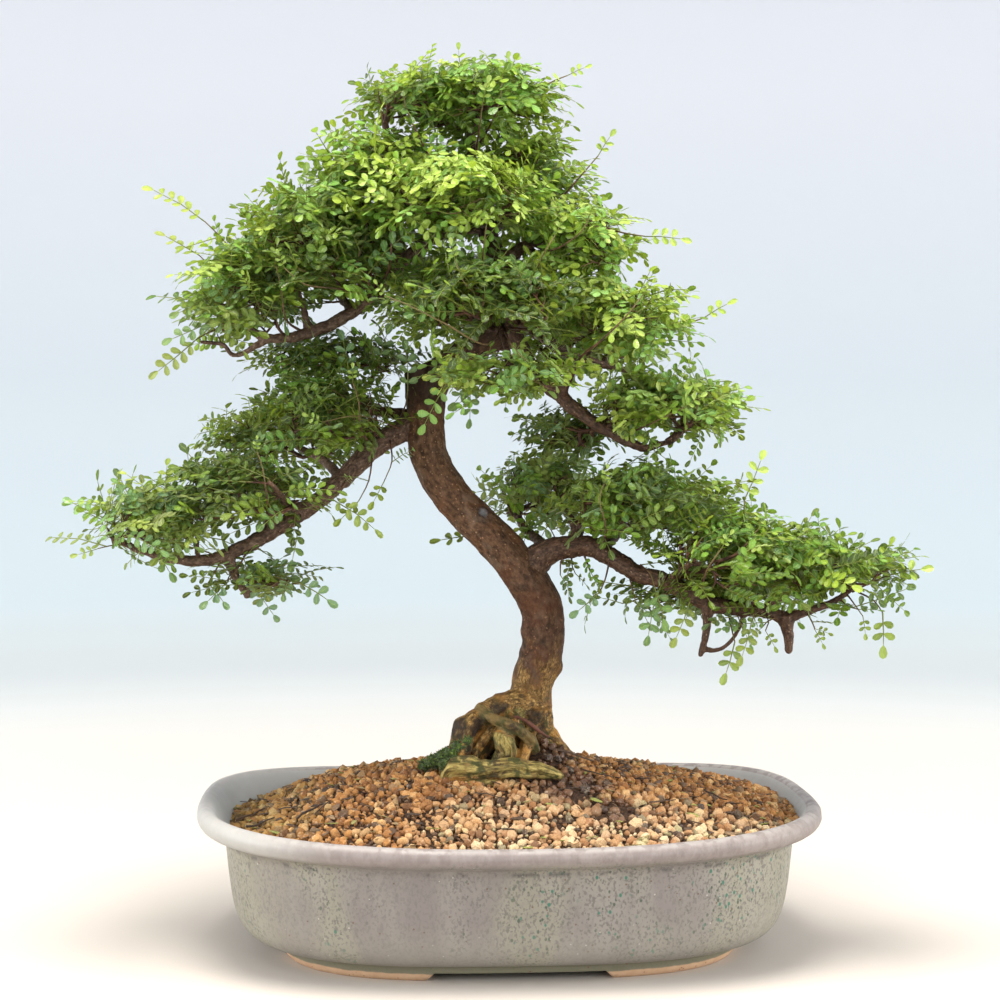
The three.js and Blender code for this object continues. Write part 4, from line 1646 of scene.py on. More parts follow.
    def relief(self, local: np.ndarray, grain: np.ndarray, kind: np.ndarray) -> np.ndarray:
        """Give the relief of the bark.

        Args:
            local: Points in millimetres.
            grain: The same points in straightened coordinates, in millimetres.
            kind: 0 on the trunk, 1 on a root, 2 on a root with pale fibrous bark.

        Returns:
            How far each point stands out, in millimetres.
        """
        angle = np.arctan2(grain[:, 1], grain[:, 0])
        slow = lumps(local, 26, 1.7, 1)
        flute = np.sin(5 * angle + 2.6 * slow) * (0.28 + 0.7 * smooth_step(local[:, 2], 140, 100))
        knobs = 0.55 * lumps(local, 9, 4.4) + (0.2 + 0.5 * np.minimum(kind, 1)) * lumps(local, 4.2, 6.1)
        fibre = lumps(grain * (1, 1, 0.16), 1.5, 9.2)
        fine = lumps(grain * (1, 1, 0.5), 1.7, 12.3)
        size = smooth_step(np.linalg.norm(grain[:, :2], axis=1), 1, 8)
        bark = (flute + knobs) * np.where(kind > 0, 0.8, 1.0) * (0.25 + 0.75 * size)
        return bark + 0.16 * fine + np.where(kind > 1, 0.42, np.where(kind > 0, 0.22, 0.10)) * fibre

    def shadow(self, local: np.ndarray) -> np.ndarray:
        """Give how much darker the wood is next to the soil, and the painted shade in the hollows between the
        roots.

        Args:
            local: Points of the bark, in millimetres.

        Returns:
            A share from 0 to 1 for each point.
        """
        shade = 0.5 * smooth_step(local[:, 2] + 3 * lumps(local, 5, 7.7), 88, 76)
        for x, y, z, reach, share in self.shade_spots:
            away = np.linalg.norm(local - (x, y, z), axis=1) + 2.2 * lumps(local, 5, 5.1)
            shade = np.maximum(shade, share * (1 - smooth_step(away, 0.5 * reach, reach)))
        return shade


@dataclass(frozen=True)
class TwigFinish:
    """Branch bark: dark red brown, dusted pale where it has aged, and smoother on thin twigs."""

    tan_fleck: Colour = (0.42, 0.27, 0.17)
    green_shoot: Colour = (0.135, 0.115, 0.030)

    def material(self) -> Material:
        """Make the material, which reads each point's grain, thickness and dust.

        Returns:
            The material.
        """
        paint = Paint("branch bark")
        grain = paint.value("grain", "Vector")
        streak = paint.cloud(1.5, 5, 0.68, at=grain, squash=0.6)
        red = paint.ramp(streak, (
            (0.30, (0.012, 0.006, 0.003)), (0.45, (0.038, 0.017, 0.008)), (0.57, (0.080, 0.036, 0.017)),
            (0.72, (0.16, 0.085, 0.045)),
        ))
        dusty = paint.ramp(streak, (
            (0.30, (0.035, 0.021, 0.014)), (0.44, (0.095, 0.058, 0.038)), (0.56, (0.175, 0.115, 0.080)),
            (0.72, (0.29, 0.21, 0.155)),
        ))
        patches = paint.times(paint.value("dust"), paint.band(paint.cloud(6, 3), 0.34, 0.6, 0.35, 1))
        colour = paint.blend(patches, red, dusty)
        fleck = paint.band(paint.cells(1.7, at=grain, squash=0.7), 0.28, 0.15)
        fleck = paint.times(fleck, paint.band(paint.cloud(2.2, 1), 0.5, 0.6))
        colour = paint.blend(paint.times(fleck, 0.6), colour, self.tan_fleck)
        twig = paint.ramp(paint.cloud(3.5, 3), (
            (0.32, (0.030, 0.013, 0.008)), (0.52, (0.085, 0.034, 0.019)), (0.70, (0.17, 0.080, 0.042)),
        ))
        thin = paint.band(paint.value("thick"), 1.35, 0.8)
        colour = paint.blend(thin, colour, twig)
        shoot = paint.band(paint.value("thick"), 0.50, 0.32)
        colour = paint.blend(paint.times(shoot, 0.7), colour, self.green_shoot)
        relief = paint.height(streak, 0.32)
        relief = paint.height(paint.cloud(0.7, 2, 0.6), 0.1, relief)
        return paint.done(colour, paint.band(streak, 0.3, 0.7, 0.8, 0.55), relief, Specular_IOR_Level=0.4)


@dataclass
class Branch:
    """One main branch: its thick wood, and the twigs that its sprays grow on it."""

    name: str
    dust: float
    routes: tuple[tuple[Stop, ...], ...]
    voxel: float = 0.62
    sides: int = 12
    twig_sides: int = 4
    collars: tuple[float, float] = (13.0, 5.0)
    wood: Limbs = field(default_factory=Limbs)
    skin: Skin = field(default_factory=Skin)

    def thicken(self) -> None:
        """Melt the branch's routes into one skin with collars at its joints and knobbly bark."""
        shapes = []
        for number, stops in enumerate(self.routes):
            collar, seed = self.collars[min(number, 1)], 7 * number + len(self.name)
            shapes.append(self.wood.tube(stops, self.sides, collar=collar, kink=0.6, seed=seed))
        mesh = melted(self.name, shapes, self.voxel, 2, 0.42)
        points, normals = read_points(mesh), read_normals(mesh)
        found, grain = self.wood.nearest(points)
        local = (points - POT_MIDDLE) / MM
        thick = self.wood.table()[found, 3]
        knobs = 0.5 * lumps(local, 4.6, 3.3) + 0.22 * lumps(local, 1.9, 5.9)
        rings = 0.16 * np.sin(grain[:, 2] / MM * 1.9 + 3 * lumps(local, 9, 1.1))
        out = (knobs + rings) * np.clip(thick / 4.2, 0.22, 1)
        faces = [tuple(face.vertices) for face in mesh.polygons]
        points = points + normals * out[:, None] * MM
        self.skin.add(points, faces, grain=grain, thick=thick, dust=np.full(len(points), self.dust))
        bpy.data.meshes.remove(mesh)

    def bear(self, stops: np.ndarray) -> None:
        """Add one thin twig.

        Args:
            stops: Rows of x, y, z and radius, in millimetres.
        """
        points, faces = Limbs(step=9.0).tube(stops, self.twig_sides)
        rows = np.minimum(np.arange(len(points)) // self.twig_sides, len(stops) - 1)
        thick = stops[rows, 3]
        self.skin.add(points, faces, grain=points, thick=thick, dust=np.zeros(len(points)))

    def build(self, finish: Material) -> Piece:
        """Give the branch with all its twigs as one piece."""
        return thing(f"{self.name}_wood", self.skin.mesh(f"{self.name}_wood"), finish)


@dataclass(frozen=True)
class LeafFinish:
    """Small glossy leaflets: bright yellow green when young and as painted light on the top and outside of
    the crown, deep green as painted shade inside, olive when old and as a painted sheen.
    """

    faded_olive_and_painted_sheen: Colour = (0.290, 0.350, 0.140)
    blue_tint: Colour = (0.55, 0.93, 1.7)
    warm_tint: Colour = (1.12, 0.96, 0.8)
    pale_patch: Colour = (0.30, 0.42, 0.07)
    rib_green: Colour = (0.42, 0.55, 0.13)
    margin_green: Colour = (0.04, 0.07, 0.012)
    stalk_green: Colour = (0.21, 0.25, 0.05)
    glow_green: Colour = (0.50, 0.62, 0.04)

    def material(self) -> Material:
        """Make the material.

        Returns:
            The material. It reads each leaf's youth with its painted light and shade, its olive, which holds
            a painted sheen too, and each leaflet's blade coordinates.
        """
        paint = Paint("leaflet")
        blade = paint.node("ShaderNodeSeparateXYZ", {"Vector": paint.value("blade", "Vector")})
        across, along, chance = blade.outputs[0], blade.outputs[1], blade.outputs[2]
        drift = paint.times(paint.math("SUBTRACT", chance, 0.5), 0.3)
        tone = paint.plus(paint.value("tone"), drift)
        # The ramp runs from painted shade deep inside the crown to young, lit leaves.
        green = paint.ramp(tone, (
            (0.0, (0.008, 0.020, 0.003)), (0.25, (0.034, 0.078, 0.009)), (0.5, (0.118, 0.225, 0.016)),
            (0.75, (0.300, 0.450, 0.036)), (1.0, (0.490, 0.620, 0.110)),
        ))
        # Olive: faded old leaves, partly a painted sheen.
        green = paint.blend(paint.value("olive"), green, self.faded_olive_and_painted_sheen)
        own = paint.math("SINE", paint.times(paint.value("tone"), 91.0))
        green = paint.blend(paint.band(own, -0.1, 0.8, 0, 0.75), green, self.blue_tint, "MULTIPLY")
        green = paint.blend(paint.band(own, -0.5, -0.95, 0, 0.5), green, self.warm_tint, "MULTIPLY")
        mottle = paint.band(paint.cloud(2.4, 3), 0.4, 0.66, 0, 0.22)
        green = paint.blend(mottle, green, self.pale_patch)
        side = paint.math("ABSOLUTE", across, 0)
        rib = paint.band(side, 0.16, 0.03)
        ribs = paint.blend(paint.times(rib, 0.45), green, self.rib_green)
        margin = paint.band(side, 0.75, 1.0, 0, 0.3)
        ribs = paint.blend(margin, ribs, self.margin_green)
        stalk = paint.band(along, 1.5, 1.6)
        colour = paint.blend(stalk, ribs, self.stalk_green)
        wave = paint.math("SINE", paint.times(along, 34.0))
        relief = paint.height(wave, 0.04)
        relief = paint.height(side, 0.7, relief)
        relief = paint.height(paint.cloud(1.5, 2), 0.2, relief)
        rough = paint.band(paint.cloud(5, 2), 0.35, 0.65, 0.30, 0.48)
        paint.done(colour, rough, relief, Specular_IOR_Level=0.5)
        glow = paint.blend(0.5, colour, self.glow_green)
        return paint.thin(0.28, glow)


@dataclass(frozen=True)
class LeafShape:
    """One compound leaf: a thin stalk with leaflets in pairs and one at its end."""

    pairs: int
    droop: float
    seed: int
    gap: float
    leaflet: float = 6.2
    foot: float = 4.4
    stations: tuple[tuple[float, float], ...] = (
        (0.0, 0.0), (0.22, 0.6), (0.6, 1.0), (0.88, 0.72), (1.0, 0.0)
    )

    @property
    def length(self) -> float:
        """The leaf's whole length, in millimetres."""
        return self.foot + self.gap * self.pairs + self.leaflet

    def mesh(self) -> Mesh:
        """Make the leaf along +X from its foot, its upper side to +Z.

        Returns:
            Its mesh, with each leaflet's blade coordinates: across, along and a random number.
        """
        chance = random.Random(self.seed)
        skin = Skin()
        knots = np.concatenate([[0], self.foot + self.gap * np.arange(self.pairs + 1)])
        rise = np.radians(14 - self.droop * (knots / knots[-1]) ** 1.3 * 60)
        sway = np.radians(chance.uniform(-14, 14)) * knots / knots[-1]
        ways = np.stack([np.cos(rise) * np.cos(sway), np.cos(rise) * np.sin(sway), np.sin(rise)], -1)
        steps = np.diff(knots)[:, None] * (ways[1:] + ways[:-1]) / 2
        spots = np.concatenate([[[0, 0, 0]], np.cumsum(steps, 0)])
        self.stalk(skin, spots)
        for k in range(1, self.pairs + 1):
            size = 1 - 0.2 * abs(k - 0.55 * self.pairs - 0.5) / (0.5 * self.pairs)
            for side in (-1, 1):
                spot = spots[k] + ways[k] * chance.uniform(-0.4, 0.4)
                ahead = ways[k] * chance.uniform(0.45, 0.8)
                way = unit(ahead + np.array([0, side, chance.uniform(-0.1, 0.22)]))
                self.blade(skin, spot, way, size * chance.uniform(0.9, 1.1), chance, side * 0.25)
        self.blade(skin, spots[-1], ways[-1], 1.04, chance, 0.0)
        made = skin.mesh("leaf")
        made.transform(Matrix.Scale(MM, 4))
        return made

    def stalk(self, skin: Skin, spots: np.ndarray) -> None:
        """Add the stalk, three-sided and thinner towards its end.

        Args:
            skin: The leaf so far.
            spots: The stalk's course, in millimetres.
        """
        spots = spots[[0, len(spots) // 2, -1]]
        sides = 3
        angle = even_angles(sides) + math.pi / 2
        ring = np.stack([np.zeros(sides), np.cos(angle), np.sin(angle)], -1)
        thick = np.linspace(0.42, 0.2, len(spots))
        points = (spots[:, None] + ring[None] * thick[:, None, None]).reshape(-1, 3)
        index = np.arange(len(points)).reshape(-1, sides)
        skin.add(points, ring_faces(index), blade=np.tile([0.0, 2.0, 0.5], (len(points), 1)))

    def blade(
        self, skin: Skin, spot: np.ndarray, way: np.ndarray, size: float, chance: random.Random, lean: float
    ) -> None:
        """Add one leaflet, broadest past its middle and bent down at its tip.

        Args:
            skin: The leaf so far.
            spot: Where the leaflet starts, in millimetres.
            way: Its direction.
            size: Its size as a share of the largest.
            chance: Source of small differences.
            lean: How far it turns about its rib, in radians.
        """
        length = self.leaflet * size
        half = length * chance.uniform(0.285, 0.35) / max(size, 1)
        turn = Matrix.Rotation(lean + chance.uniform(-0.2, 0.2), 3, Vector(way))
        up = np.array(turn @ Vector(unit(np.array([0, 0, 1.0]) - way * way[2])))
        beside = np.cross(up, way)
        bend = chance.uniform(0.0, 0.3)
        rows = [spot + way * along * length - up * bend * length * along**2 for along, _ in self.stations]
        points, values, number = [], [], chance.random()
        for (along, width), middle in zip(self.stations, rows):
            for side in (1, -1) if width else (0,):
                points.append(middle + beside * side * half * width)
                values.append((side, along, number))
        faces = [(0, 2, 1), (1, 2, 4, 3), (3, 4, 6, 5), (5, 6, 7)]
        skin.add(np.array(points), faces, blade=np.array(values))


LEAF_SHAPES = (
    LeafShape(3, 0.15, 1, 5.2), LeafShape(3, 0.4, 2, 5.8), LeafShape(4, 0.1, 3, 5.2),
    LeafShape(4, 0.45, 4, 5.8), LeafShape(4, 0.25, 5, 5.4), LeafShape(5, 0.3, 6, 5.2),
    LeafShape(5, 0.55, 7, 5.7), LeafShape(2, 0.15, 8, 5.2),
)


@dataclass(frozen=True)
class Shoot:
    """A shoot whose place is known: its course, how many leaves it bears and where its last leaf ends."""

    stops: tuple[Spot, ...]
    end: Spot
    leaves: int = 0
    # How young the shoot's leaves are, with painted light and shade.
    tone: float = 0.9
    # Faded olive, partly a painted sheen.
    olive: float = 0.1
    thick: float = 0.55


@dataclass
class Spray:
    """One mass of leaves on fans of fine twigs, in the room of its CAD node."""

    name: str
    slot: Slot
    carriers: tuple[str, ...]
    # How young the spray's leaves are, with the painted light and shade set for the spray.
    tone: float
    fill: float = 1.0
    flat: float = 0.6
    # Faded olive, partly a painted sheen and backlit look.
    olive: float = 0.0
    space: float = 1900.0
    shift: Spot = (0.0, 0.0, 0.0)
    stretch: Spot = (1.0, 1.0, 1.0)
    shoots: tuple[Shoot, ...] = ()
    tries: int = 12
    boxiness: float = 3.2
    margin: Spot = (11, 11, 7)
    leaf_gap: float = 5.2
    twig_step: float = 6.5
    shoot_step: float = 4.5
    leaf_reach: float = 26.0
    leaves: list[tuple[float, ...]] = field(default_factory=list)

    def room(self) -> tuple[np.ndarray, np.ndarray]:
        """Give the middle and half sizes of the spray's room, in millimetres from the pot."""
        low, high = (np.array(corner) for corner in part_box(f"{self.name}_leaves"))
        return ((low + high) / 2 - POT_MIDDLE) / MM + self.shift, (high - low) / 2 / MM * self.stretch

    def tips(self, chance: np.random.Generator) -> np.ndarray:
        """Choose where the twigs end, spread through the outer and upper part of the room.

        Args:
            chance: Source of random numbers.

        Returns:
            Rows of x, y, z in millimetres.
        """
        middle, half = self.room()
        count = int(round(self.fill * BALL_VOLUME * float(np.prod(half)) / self.space))
        inner = np.maximum(half - self.margin, 0.5 * half)
        chosen = []
        for _ in range(count):
            way = chance.normal(size=(self.tries, 3))
            way = way / np.sum(np.abs(way) ** self.boxiness, 1, keepdims=True) ** (1 / self.boxiness)
            way[:, 2] = np.where(way[:, 2] < -self.flat, -way[:, 2], way[:, 2])
            ends = way * (0.35 + 0.65 * chance.random((self.tries, 1)) ** 0.6)
            if chosen:
                apart = np.linalg.norm(ends[:, None] - np.array(chosen)[None], axis=2).min(1)
            else:
                apart = np.ones(self.tries)
            chosen.append(ends[int(np.argmax(apart))])
        return middle + np.array(chosen) * inner

    def grow(self, branches: dict[str, Branch], seed: int) -> None:
        """Grow the twigs from the carriers to the tips and put leaves along them.

        Args:
            branches: The wood by name.
            seed: Which random spray.
        """
        chance = np.random.default_rng(seed)
        middle, half = self.room()
        carrier = np.vstack([branches[name].wood.table() for name in self.carriers])
        reach = np.linalg.norm((carrier[:, :3] - middle) / (half + 14), axis=1)
        carrier = carrier[reach < max(1.0, float(reach.min()) * 1.25)]
        spots, ways = carrier[::3, :3], carrier[::3, 5:8]
        owner, place = np.full(len(spots), -1), np.arange(len(spots))
        tips = self.tips(chance)
        order = np.argsort(np.linalg.norm(tips[:, None] - spots[None], axis=2).min(1))
        twigs, parents = [], []
        for tip in tips[order]:
            gap = tip - spots
            far = np.linalg.norm(gap, axis=1)
            bend = 1 - np.sum(gap * ways, 1) / np.maximum(far, 1e-6)
            cost = far * (1 + 0.45 * bend) + 1.2 * np.maximum(0, -gap[:, 2]) + np.where(owner < 0, 4.0, 0.0)
            best = int(np.argmin(cost))
            line = self.twig(spots[best], ways[best], tip, middle, chance)
            parents.append((owner[best], place[best]))
            number, count = len(twigs), len(line)
            twigs.append(line)
            spots = np.vstack([spots, line[1:-1]])
            ways = np.vstack([ways, unit(line[2:] - line[:-2])])
            owner = np.append(owner, np.full(count - 2, number))
            place = np.append(place, np.arange(1, count - 1))
        self.dress(branches[self.carriers[0]], twigs, parents, chance)

    def twig(
        self, start: np.ndarray, way: np.ndarray, tip: np.ndarray, middle: np.ndarray,
        chance: np.random.Generator
    ) -> np.ndarray:
        """Draw one twig that leaves its carrier at a slant and ends pointing up and out.

        Args:
            start: Where it starts.
            way: Which way its carrier runs there.
            tip: Where it ends.
            middle: The middle of the spray.
            chance: Source of random numbers.

        Returns:
            Rows of x, y, z in millimetres.
        """
        gap = tip - start
        far = float(np.linalg.norm(gap))
        first = unit(0.5 * unit(gap) + 0.4 * way + (0, 0, 0.15) + 0.15 * chance.normal(size=3))
        outward = unit((tip - middle) * (1, 1, 0.4))
        last = unit(0.6 * unit(gap) + 0.35 * outward + (0, 0, 0.45) + 0.2 * chance.normal(size=3))
        count = max(3, int(round(far / self.twig_step)) + 1)
        t = np.linspace(0, 1, count)[:, None]
        line = start * (2 * t**3 - 3 * t**2 + 1) + first * far * (t**3 - 2 * t**2 + t)
        line = line + tip * (3 * t**2 - 2 * t**3) + last * far * (t**3 - t**2)
        line[1:-1] += chance.normal(size=(count - 2, 3)) * min(0.8, far * 0.03)
        return line

    def dress(
        self, branch: Branch, twigs: list[np.ndarray], parents: list[tuple[int, int]],
        chance: np.random.Generator
    ) -> None:
        """Thicken the twigs by what they carry, and put leaves on them.

        Args:
            branch: The branch whose piece the twigs join.
            twigs: The twigs' courses.
            parents: For each twig the twig that it grows on, and where.
            chance: Source of random numbers.
        """
        loads = [np.ones(len(line)) for line in twigs]
        for number in range(len(twigs) - 1, -1, -1):
            parent, spot = parents[number]
            if parent >= 0:
                loads[parent][: spot + 1] += loads[number][0]
        for line, load in zip(twigs, loads):
            thick = 0.34 * load**0.42 + 0.04
            thick[-1] = 0.24
            branch.bear(np.hstack([line, thick[:, None]]))
            self.leaf_along(line, load, chance, self.tone, self.olive, self.leaf_gap)
        for shoot in self.shoots:
            line = route(np.array(shoot.stops, float), self.shoot_step)
            branch.bear(np.hstack([line, np.linspace(shoot.thick, 0.3, len(line))[:, None]]))
            self.known(line[-1], np.array(shoot.end, float), shoot.tone, shoot.olive, chance)
            if shoot.leaves:
                most = 0.8 * float(np.linalg.norm(np.diff(line, axis=0), axis=1).sum())
                every = most / shoot.leaves
                load = np.ones(len(line))
                self.leaf_along(line, load, chance, shoot.tone, shoot.olive, every, most, every)

    def leaf_along(
        self, line: np.ndarray, load: np.ndarray, chance: np.random.Generator, tone: float, olive: float,
        every: float, most: float = 34.0, first: float = 0.0,
    ) -> None:
        """Put leaves along the outer part of a twig.

        Args:
            line: The twig's course.
            load: How many tips each part of it feeds.
            chance: Source of random numbers.
            tone: How young the leaves are and the painted light on them, from 0 to 1.
            olive: How faded they are, partly a painted sheen, from 0 to 1.
            every: Millimetres from leaf to leaf.
            most: How far from the tip the last leaf may stand, in millimetres.
            first: How far from the tip the first leaf stands, in millimetres.
        """
        room = self.room()
        back = line[::-1]
        run = run_along(back)
        bare = run[load[::-1] > 3]
        limit = min(most, float(bare.min()) if len(bare) else run[-1], run[-1])
        turn = chance.uniform(0, 2 * math.pi)
        for where in np.arange(first, max(limit, first + 0.1), every):
            at_tip = where == 0
            where = where + (0 if at_tip else chance.uniform(-0.25, 0.25) * every)
            spot = np.array([np.interp(where, run, back[:, axis]) for axis in range(3)])
            ahead = np.array([np.interp(max(where - 3, 0), run, back[:, axis]) for axis in range(3)])
            behind = np.array([np.interp(where + 3, run, back[:, axis]) for axis in range(3)])
            turn += GOLDEN_ANGLE
            self.leaf(spot, unit(ahead - behind), turn, at_tip, room, tone, olive, chance)

    def leaf(
        self, spot: np.ndarray, stem: np.ndarray, turn: float, at_tip: bool,
        room: tuple[np.ndarray, np.ndarray], tone: float, olive: float, chance: np.random.Generator,
    ) -> None:
        """Put one leaf on a twig.

        Args:
            spot: Where it grows, in millimetres.
            stem: Which way the twig runs there.
            turn: The angle at which it leaves the twig.
            at_tip: Whether it ends the twig.
            room: The middle and half sizes of the spray's room.
            tone: How young it is and the painted light on its spray, from 0 to 1.
            olive: How faded it is, partly a painted sheen, from 0 to 1.
            chance: Source of random numbers.
        """
        middle, half = room
        size = chance.uniform(0.7, 1.06)
        side = unit(np.cross(stem, (0.02, 0.03, 1.0)))
        spoke = side * math.cos(turn) + np.cross(stem, side) * math.sin(turn)
        way = unit((1.6 if at_tip else 0.55) * stem + 0.9 * spoke)
        inward = 0.6 * unit((middle - spot) / half)
        for _ in range(2):
            if np.linalg.norm((spot + way * self.leaf_reach * size - middle) / half) > 1.25:
                way = unit(way + inward)
                size = max(0.66, 0.92 * size)
        way[2] = way[2] * 0.5 + chance.uniform(-0.25, 0.2)
        away = (spot - middle) / half
        outward = unit((spot - middle) * (1, 1, 0.2))
        up = np.array([0, 0, 1.0]) + 0.4 * chance.normal(size=3) + 0.85 * outward
        high = 0.5 + 0.5 * float(np.clip(away[2], -1, 1))
        out = float(np.clip(np.linalg.norm(away), 0, 1.1))
        # Painted light and shade: leaves high up and on the outside of the spray are lighter, those inside
        # darker.
        shade = tone * (0.02 + 0.5 * high + 0.54 * out**2) + 0.15 * float(chance.normal())
        # Olive: faded old leaves, and a painted sheen and backlit look, most on lower leaves.
        fade = olive * (1.15 - 0.7 * high) * float(chance.random() > 0.35)
        fade += 0.5 if chance.random() < 0.04 else 0.0
        self.hang(spot, way, up, size, int(chance.integers(0, len(LEAF_SHAPES))), shade, fade)

    def known(
        self, foot: np.ndarray, end: np.ndarray, tone: float, olive: float, chance: np.random.Generator
    ) -> None:
        """Put a leaf between two known points.

        Args:
            foot: Where it starts, in millimetres.
            end: Where it ends, in millimetres.
            tone: How young it is and the painted light on it, from 0 to 1.
            olive: How faded it is, partly a painted sheen, from 0 to 1.
            chance: Source of random numbers.
        """
        reach = float(np.linalg.norm(end - foot))
        design = int(np.argmin([abs(shape.length - reach) for shape in LEAF_SHAPES]))
        up = np.array([0.05, -0.85, 0.5]) + 0.25 * chance.normal(size=3)
        self.hang(foot, end - foot, up, reach / LEAF_SHAPES[design].length, design, tone, olive)

    def hang(
        self, spot: np.ndarray, way: np.ndarray, up: np.ndarray, size: float, design: int, tone: float,
        olive: float
    ) -> None:
        """Note one leaf's place, turn, size, design and tones.

        Args:
            spot: Where it starts, in millimetres.
            way: Which way it runs.
            up: Which way its upper side faces, roughly.
            size: Its size as a share of its design's.
            design: Which leaf shape it takes.
            tone: How young it is and how lit, as painted light and shade, from 0 to 1.
            olive: How faded it is, partly a painted sheen, from 0 to 1.
        """
        way = unit(way)
        up = unit(up - way * float(up @ way))
        euler = Matrix(np.stack([way, np.cross(up, way), up], 1).tolist()).to_euler()
        self.leaves.append((*spot, *euler, size, design, min(max(tone, 0.0), 1.0), min(max(olive, 0.0), 1.0)))

    def build(self, hang: GraphTree, bank: Bank, finish: Material) -> Piece:
        """Hang the leaves and give them as one piece.

        Args:
            hang: The tree that hangs leaves.
            bank: The leaf shapes.
            finish: The leaves' material.

        Returns:
            The piece.
        """
        rows = np.array(self.leaves)
        mesh = bpy.data.meshes.new(f"{self.name}_foliage")
        mesh.from_pydata(placed(rows[:, :3]).tolist(), [], [])
        write_value(mesh, "turn", rows[:, 3:6])
        for column, label in enumerate(("size", "design", "tone", "olive")):
            write_value(mesh, label, rows[:, 6 + column])
        return hang.run(f"{self.name}_foliage", mesh, Leaves=bank, Finish=finish)


BRANCHES: dict[str, tuple[tuple[Stop, ...], ...]] = {
    "lower_right_branch": (
        ((11, -8, 193, 6.2), (20, -9, 201, 6.2), (36, -12, 205, 5.7), (49, -15, 202, 5.2),
         (67, -23, 191, 4.6), (81, -27, 187, 4.4), (103, -35, 176, 4.3), (128, -41, 173, 3.3),
         (139, -42, 170, 3.3), (149, -46, 173, 2.3), (162, -49, 178, 1.8), (171, -51, 184, 1)),
        ((101, -35, 176, 2.8), (100, -35, 162, 2), (97, -34, 150, 1.5)),
        ((139, -42, 171, 3.8), (141, -42, 160, 2.8), (141, -42, 152, 2)),
        ((98, -34, 153, 1.1), (107, -37, 153, 1.1), (114, -41, 161, 1.1), (119, -39, 172, 1.3)),
        ((33, -11, 204, 3.4), (38, -5, 215, 2.9), (43, 3, 228, 2.5), (46, 7, 239, 1.6)),
        ((37, -5, 213, 2.3), (32, 6, 222, 1.8), (26, 14, 230, 1.3)),
        ((48, -15, 202, 3.6), (57, 8, 208, 2.9), (66, 32, 212, 2.4), (81, 57, 216, 1.7)),
        ((23, -8, 202, 3.4), (17, 19, 207, 2.7), (10, 41, 216, 2.2), (3, 60, 229, 1.4)),
        ((81, -27, 187, 2.8), (84, -50, 194, 2), (88, -72, 201, 1.2)),
    ),
    "lower_left_branch": (
        ((-40, 5, 269, 6.3), (-53, 6, 265, 6), (-68, 4, 257, 5.8), (-86, -1, 239, 4.8), (-98, -5, 229, 4.5),
         (-109, -7, 221, 4.4), (-136, -11, 205, 3.9), (-156, -14, 198, 3.1), (-180, -16, 201, 2.2),
         (-196, -19, 208, 1.7), (-200, -20, 217, 1)),
        ((-103, -6, 224, 3.1), (-120, -4, 226, 2.6), (-136, 1, 225, 2.3), (-145, 4, 228, 2.1),
         (-152, 5, 235, 1.3)),
        ((-145, -12, 201, 2.8), (-139, -15, 188, 2.3), (-134, -16, 180, 1.8)),
        ((-135, -16, 183, 1.3), (-124, -19, 185, 1.1), (-113, -21, 188, 1)),
        ((-123, -9, 214, 2.1), (-124, -6, 228, 1.6), (-128, -2, 249, 1.2)),
        ((-86, 0, 240, 3.1), (-95, 26, 248, 2.4), (-108, 55, 255, 1.9), (-121, 80, 261, 1.3)),
        ((-108, -9, 222, 2.6), (-114, -35, 230, 1.8), (-121, -57, 239, 1.1)),
    ),
    "inner_left_branch": (
        ((-43, 7, 270, 3.9), (-54, 13, 273, 3.2), (-71, 25, 278, 2.7), (-82, 38, 296, 1.9),
         (-87, 42, 309, 1.2)),
    ),
    "upper_left_branch": (
        ((-14, -2, 373, 4.2), (-29, 0, 370, 3.8), (-42, 1, 363, 3.5), (-56, 0, 351, 3.5),
         (-68, -4, 338, 3.5), (-80, -7, 326, 3.4), (-102, -10, 315, 3), (-123, -13, 312, 2.3),
         (-132, -13, 317, 1.8), (-139, -13, 329, 1.2)),
        ((-123, -13, 312, 1.8), (-139, -14, 303, 1.3), (-147, -14, 309, 1.2), (-157, -15, 310, 1)),
        ((-102, -10, 315, 2.1), (-107, -7, 332, 1.6), (-112, -3, 352, 1.2)),
        ((-56, 0, 350, 2.6), (-56, 4, 367, 2.1), (-60, 8, 385, 1.3)),
        ((-80, -6, 326, 2.6), (-90, 26, 340, 2.1), (-104, 59, 354, 1.4)),
    ),
    "upper_right_branch": (
        ((2, 5, 322, 4.5), (12, -3, 299, 4.1), (28, -10, 282, 3.8), (43, -14, 270, 3.4),
         (58, -17, 261, 2.8), (70, -20, 256, 2.1), (83, -22, 259, 1.3)),
        ((27, -10, 283, 2.3), (37, -16, 301, 1.8), (49, -23, 314, 1.4), (62, -30, 328, 1.2)),
    ),
    "middle_right_branch": (
        ((2, 2, 332, 3.9), (16, 13, 318, 3.3), (33, 22, 307, 2.8), (52, 29, 301, 2.2), (75, 35, 296, 1.4)),
    ),
    "back_branch": (
        ((-2, 6, 313, 4.5), (2, 32, 312, 3.4), (-1, 58, 320, 2.8), (-9, 85, 333, 2.3), (-16, 109, 344, 1.4)),
    ),
    "front_branch": (((3, 0, 331, 3.9), (-1, -24, 323, 2.6), (-5, -46, 313, 2), (-2, -68, 299, 1.2)),),
    "high_right_branch": (
        ((-4, -3, 351, 3.7), (9, -9, 360, 2.7), (27, -16, 366, 2.1), (45, -21, 372, 1.3)),
    ),
    "high_back_branch": (((-10, -3, 366, 3.7), (-4, 22, 373, 2.7), (8, 46, 381, 2.2), (22, 71, 391, 1.4)),),
    "apex_left_branch": (
        ((-15, -2, 384, 3.1), (-27, -8, 392, 2.2), (-43, -13, 397, 1.7), (-62, -16, 403, 1.2)),
    ),
}
